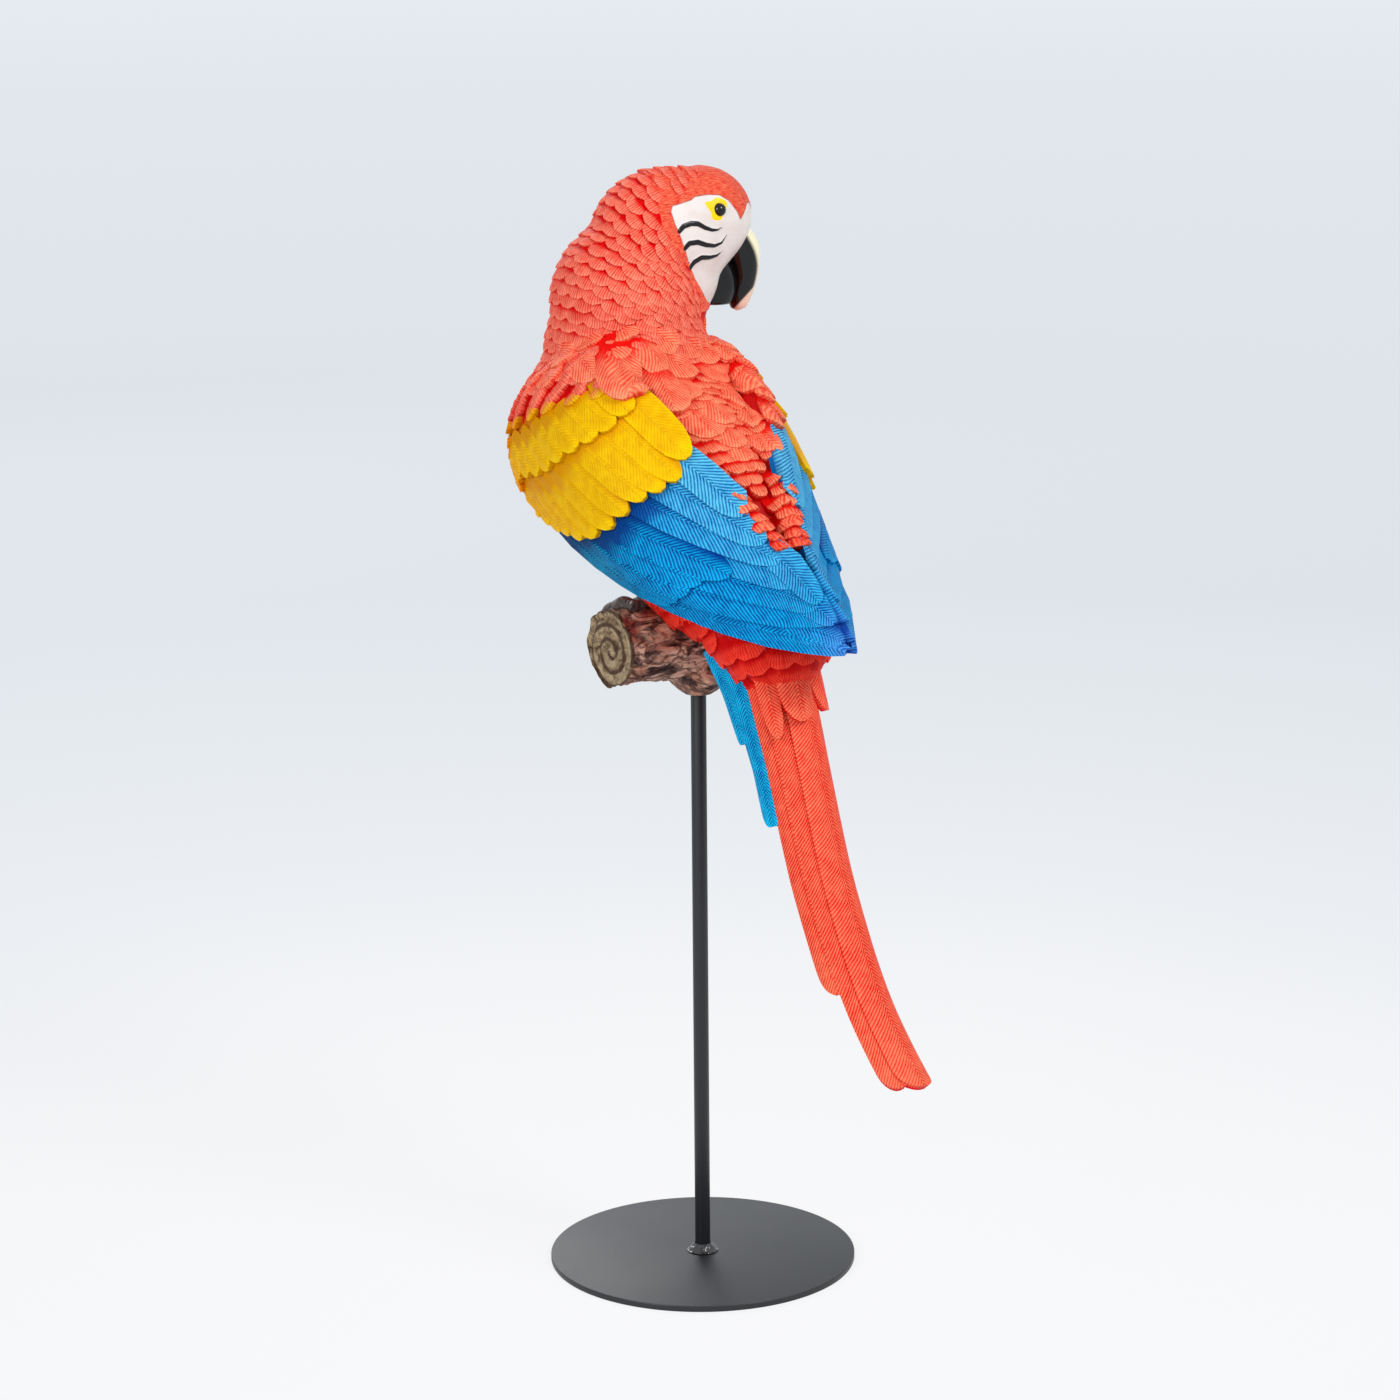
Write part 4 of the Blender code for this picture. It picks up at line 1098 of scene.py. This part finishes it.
def line_distance(point, line):
    """Distance in millimetres inside a painted line that tapers forward, negative outside."""
    best = -9.0
    for k, (a, b) in enumerate(zip(line, line[1:])):
        near = closest_on(point, Vector(a), Vector(b))
        share = (k + (near - Vector(a)).length / (Vector(b) - Vector(a)).length) / (len(line) - 1)
        half_width = 0.3 + 0.62 * math.sin(math.pi * min(1.0, 0.25 + share * 0.72)) - 0.25 * share
        best = max(best, half_width - (point - near).length)
    return best


# The yellow patch's outline, rounded: the middle turn of three round it
patch = [Vector((*corner, 0)) for corner in YELLOW_PATCH * 3]
YELLOW_EDGE = [tuple(curve_point(patch, (k + 36) / 108).to_2d()) for k in range(37)]
FACE_BACK = head_point(-13.5, 0, 0)
FACE_FOOT = head_point(0, 0, -24)
FACE_REACH = 0.036
face = bmesh.new()
face.from_mesh(smooth_form)
for plane_co, plane_no in ((FACE_BACK, -HEAD_FRONT), (FACE_FOOT, -UP)):
    bmesh.ops.bisect_plane(
        face, geom=face.verts[:] + face.edges[:] + face.faces[:], dist=1e-6,
        plane_co=plane_co, plane_no=plane_no, clear_outer=True,
    )
far_off = [vert for vert in face.verts if (vert.co - HEAD_CENTRE).length > FACE_REACH]
bmesh.ops.delete(face, geom=far_off, context="VERTS")
bmesh.ops.triangulate(face, faces=face.faces)
bmesh.ops.subdivide_edges(face, edges=face.edges, cuts=2, use_grid_fill=True, smooth=0.0)
bmesh.ops.smooth_vert(face, verts=[v for v in face.verts if not v.is_boundary], factor=0.5,
                      use_axis_x=True, use_axis_y=True, use_axis_z=True)
bmesh.ops.holes_fill(face, edges=[edge for edge in face.edges if edge.is_boundary], sides=0)
bmesh.ops.recalc_face_normals(face, faces=face.faces)
marks = face.verts.layers.float_vector.new("marks")
hair = face.verts.layers.float_vector.new("hair")
face.normal_update()
moves = []
for vert in face.verts:
    forward, right, up = head_place(vert.co)
    flat = Vector((forward, up))
    white = outline_distance(flat, WHITE_FACE)
    if abs(right) < 4 and forward > 0:
        white = min(white, 7.2 - up)
    yellow = outline_distance(flat, YELLOW_EDGE)
    line = max(line_distance(flat, line) for line in FACE_LINES) if abs(right) > 5 else -9.0
    vert[marks] = (white, yellow, line)
    out = Vector((forward - 19, right, up - 4))
    vert[hair] = (math.atan2(right, up - 4 + 0.001) * 7, out.length * 0.12, 0.0)
    on_line = min(1.0, max(0.0, line / 0.35 + 0.5))
    on_white = min(1.0, max(0.0, white / 0.6 + 0.5))
    moves.append((vert, vert.normal * (0.0005 + 0.00035 * on_line - 0.0003 * on_white)))
for vert, move in moves:
    vert.co += move

face_paint, spot, set_shader = paint("face_paint", 0.45, specular=0.2)
marked = spot.attribute("marks")
strands = spot.attribute("hair")
fine = spot.noise(900, 3)
soft = spot.noise(160, 2)
down_hair = strands.noise(5.5, 3, 0.6, 0.3)
is_white = (marked.part(0) + 0.5 * (soft - 0.5)).rise(-0.1, 0.14)
is_yellow = (marked.part(1) + 0.4 * (soft - 0.5)).rise(-0.08, 0.1)
is_line = marked.part(2).rise(-0.08, 0.1)
red_down = down_hair.rise(0.3, 0.7).mix(colour(228, 30, 18), colour(252, 122, 84))
white_skin = (soft.rise(0.4, 0.75) * 0.4).mix(colour(222, 213, 208), colour(208, 184, 175))
face_colour = is_white.mix(red_down, white_skin)
face_colour = is_yellow.mix(face_colour, colour(250, 205, 10))
face_colour = is_line.mix(face_colour, colour(28, 26, 28))
set_shader(
    Base_Color=face_colour,
    Roughness=0.46 - 0.22 * is_line - 0.1 * is_yellow,
    Normal=((1 - is_white) * down_hair + 0.15 * is_white * fine).relief(0.0008),
)
place("face_skin", face, face_paint)

# Beak: a big hooked upper half, horn coloured along its front and glossy black on
# its sides, over a short black lower half, with a narrow dark gap between them.
UPPER_BEAK = [(14, 3, 6.5, 5.5), (16, 1, 7, 6.5), (18.5, -4, 7, 7), (20.3, -10, 6.2, 5.8),
              (20.6, -16, 5, 4.4), (19.6, -21, 3.8, 3.7), (18.6, -25.8, 2.3, 2.4)]
LOWER_BEAK = [(8.5, -7, 6.5, 6), (11.3, -13, 6.4, 6), (11.8, -18.8, 6, 6), (10.8, -23.6, 4.8, 5.4)]
BEAK_SEGMENTS = 48
BEAK_RINGS = 30
beak_paint, spot, set_shader = paint("beak_gloss", 0.12, specular=0.4)
shape = spot.attribute("horn")
soft = spot.noise(260, 2)
horn = (shape.part(0) + 0.08 * (soft - 0.5)).rise(-0.14, 0.16)
horn_colour = shape.part(1).rise(0.25, 1.0).mix(colour(240, 232, 196), colour(232, 190, 170))
gap = shape.part(2).rise(0.3, 1.2) * 0.8
beak_colour = horn.mix(colour(10, 9, 10), horn_colour)
set_shader(
    Base_Color=gap.mix(beak_colour, colour(84, 14, 16)),
    Roughness=0.1 + 0.25 * horn + 0.05 * soft,
    Normal=soft.relief(0.00008),
)
for sections, name in ((UPPER_BEAK, "upper_beak"), (LOWER_BEAK, "lower_beak")):
    beak = bmesh.new()
    rings = []
    places_2d = [Vector(section[:2]) for section in sections]
    half_sizes = [Vector(section[2:]) for section in sections]
    for row in range(BEAK_RINGS + 1):
        at = row / BEAK_RINGS
        middle = curve_point(places_2d, at)
        round_off = 1.0 if at < 0.94 else math.sqrt(max(0.02, 1 - ((at - 0.94) / 0.06) ** 2))
        half = curve_point(half_sizes, at) * round_off
        turns = [math.tau * k / BEAK_SEGMENTS for k in range(BEAK_SEGMENTS)]
        rings.append([
            head_point(middle.x + half.y * math.cos(turn), half.x * math.sin(turn), middle.y)
            for turn in turns
        ])
    skin_rings(beak, rings)
    horn_layer = beak.verts.layers.float_vector.new("horn")
    for vert in beak.verts:
        forward, _, up = head_place(vert.co)
        share = min(max((3 - up) / 29, 0.0), 1.0)
        if name == "upper_beak":
            front = (forward - curve_point(places_2d, share).x) / curve_point(half_sizes, share).y
            horn_share = front - 0.58 + 1.5 * max(0.0, share - 0.72) / 0.28
        else:
            front = (forward - 10) / 5
            horn_share = -2.0
        vert[horn_layer] = (horn_share, share, max(0.0, -0.55 - front) * 3)
    place(name, beak, beak_paint)

# Eyes: glossy black beads half sunk in the yellow patches. The right one shows in the
# photo, and the left one mirrors it.
eye_gloss, spot, set_shader = paint("eye_gloss", 0.06, specular=0.4)
fleck = spot.noise(1200, 2)
set_shader(Base_Color=fleck.mix(colour(6, 5, 6), colour(20, 12, 10)))
eyes = bmesh.new()
for side in (1, -1):
    middle, normal = snap(head_point(7.2, 13.6 * side, 8.5))
    bmesh.ops.create_uvsphere(
        eyes, u_segments=32, v_segments=20, radius=0.0022,
        matrix=Matrix.Translation(middle - normal * 0.0004),
    )
place("eyes", eyes, eye_gloss)

# Feet: grey scaly toes, two of each foot hooked over the front of the branch. The photo
# hides them.
toe_paint, spot, set_shader = paint("toe_paint", 0.4)
creases = spot.node("TexVoronoi", None, {"Vector": spot, "Scale": 700})
tone = spot.noise(300, 3)
set_shader(
    Base_Color=(creases * tone * 2).mix(colour(26, 18, 18), colour(84, 66, 60)),
    Normal=creases.relief(0.0004),
)
feet = bmesh.new()
TOE_STEPS = 30
for place_x in (-27.0, -18.5, 18.5, 27.0):
    rings = []
    for k in range(TOE_STEPS + 1):
        share = k / TOE_STEPS
        angle = math.radians(70 + 148 * share)
        knuckle = 1 + 0.1 * math.cos(share * math.tau * 5)
        radius = 0.0029 * knuckle * (1 - 0.2 * share)
        if share > 0.76:  # the claw
            radius = 0.0022 * (1 - (share - 0.76) / 0.24) ** 0.7 + 0.0002
        outward = Vector((0, math.cos(angle), math.sin(angle)))
        reach = BRANCH_RADIUS + 0.0016 - 0.0006 * share
        middle = LEFT * place_x * MM * (1 + 0.06 * share) + outward * reach + UP * BRANCH_HEIGHT
        turns = [math.tau * j / 16 for j in range(16)]
        rings.append([middle + (outward * math.cos(t) + LEFT * math.sin(t)) * radius for t in turns])
    skin_rings(feet, rings)
place("feet", feet, toe_paint)

# Floor: pale paper sweep, white near the object and cooler behind it. It glows for the
# camera, so that it looks as bright as in the photo.
floor_paper, spot, set_shader = paint("paper_sweep", 0.9, specular=0.1)
x, y = spot.part(0), spot.part(1)
distance = (x * x + y * y).power(0.5)
# The ramp is painted light: white under the object, darker and cooler in a ring behind it, and lighter
# again far off.
paper_light_ramp = spot.node("ValToRGB", {"stops": [
    (0.0, colour(248, 248, 249)), (0.03, colour(245, 246, 248)), (0.07, colour(234, 237, 241)),
    (0.14, colour(224, 230, 235)), (0.3, colour(231, 236, 241)), (1.0, colour(238, 243, 248)),
]}, {0: distance / 8})
shader = spot.tree.nodes["Principled BSDF"]
set_shader(Base_Color=paper_light_ramp)
glow = spot.node("Emission", None, {0: paper_light_ramp, 1: 1.0})
path = spot.node("LightPath", output=0)
shiny = spot.node("LightPath", output=3)
seen = spot.math("MAXIMUM", path, shiny)
mixed = spot.node("MixShader", None, {0: seen * 0.86, 1: Value(spot.tree, shader.outputs[0]), 2: glow})
spot.tree.links.new(mixed.socket, spot.tree.nodes["Material Output"].inputs["Surface"])
paper = bmesh.new()
bmesh.ops.create_circle(paper, cap_ends=True, segments=96, radius=14.0)
floor = add_object("paper_floor", mesh_of("paper_floor", paper, floor_paper))

# Light: a pale sky all round and three round soft boxes, the brightest behind the bird
# and to its right, so that the shadow falls softly on the paper.
world = bpy.data.worlds.new("studio")
world.use_nodes = True
bpy.context.scene.world = world
sky = Value(world.node_tree)
back = world.node_tree.nodes["Background"]
back.inputs["Color"].default_value = (*colour(232, 237, 242), 1.0)
camera_ray = sky.node("LightPath", output=0)
glossy_ray = sky.node("LightPath", output=3)
open_ray = sky.node("LightPath", output=6)
direct = sky.math("MAXIMUM", sky.math("MAXIMUM", camera_ray, glossy_ray), open_ray)
world.node_tree.links.new((0.5 + 0.5 * direct).socket, back.inputs["Strength"])


def soft_box(name, centre, size, watts):
    """A round lamp that looks at the bird's middle."""
    lamp = bpy.data.lights.new(name, "AREA")
    lamp.shape = "DISK"
    lamp.size = size
    lamp.energy = watts
    made = add_object(name, lamp)
    made.location = centre
    made.rotation_mode = "QUATERNION"
    made.rotation_quaternion = (Vector((0, 0, 0.25)) - Vector(centre)).to_track_quat("-Z", "Y")


soft_box("key_box", (-0.25, 1.15, 1.25), 0.6, 15)
soft_box("fill_box", (1.5, 0.35, 0.9), 0.9, 13)
soft_box("front_box", (-0.4, -1.5, 1.0), 1.0, 8)

# Camera: the photograph's view, from behind the bird's left shoulder. The plate's middle
# is a point of the picture, given in pixels from its middle.
FOCAL_PIXELS = 3889.0
DISTANCE = 1.2835
PLATE_LEFT_OF_MIDDLE = 1.5
PLATE_BELOW_MIDDLE = 549.5
pitch = math.radians(12.96)
turn = math.radians(143)
roll = math.radians(-0.45)
ahead = Vector((-math.sin(turn), math.cos(turn), 0))
look = ahead * math.cos(pitch) - UP * math.sin(pitch)
camera_up = ahead * math.sin(pitch) + UP * math.cos(pitch)
camera_right = look.cross(camera_up)
lens = bpy.data.cameras.new("camera")
lens.sensor_width = 36.0
lens.sensor_fit = "HORIZONTAL"
lens.lens = 100.0
camera = add_object("camera", lens)
pixel = DISTANCE / FOCAL_PIXELS
stand_point = (UP * PLATE_THICKNESS - look * DISTANCE + camera_up * (PLATE_BELOW_MIDDLE * pixel)
               + camera_right * (PLATE_LEFT_OF_MIDDLE * pixel))
axes = Matrix((camera_right, camera_up, -look)).transposed().to_4x4()
camera.matrix_world = Matrix.Translation(stand_point) @ axes @ Matrix.Rotation(roll, 4, "Z")
bpy.context.scene.camera = camera
bpy.context.scene.view_settings.view_transform = "Standard"
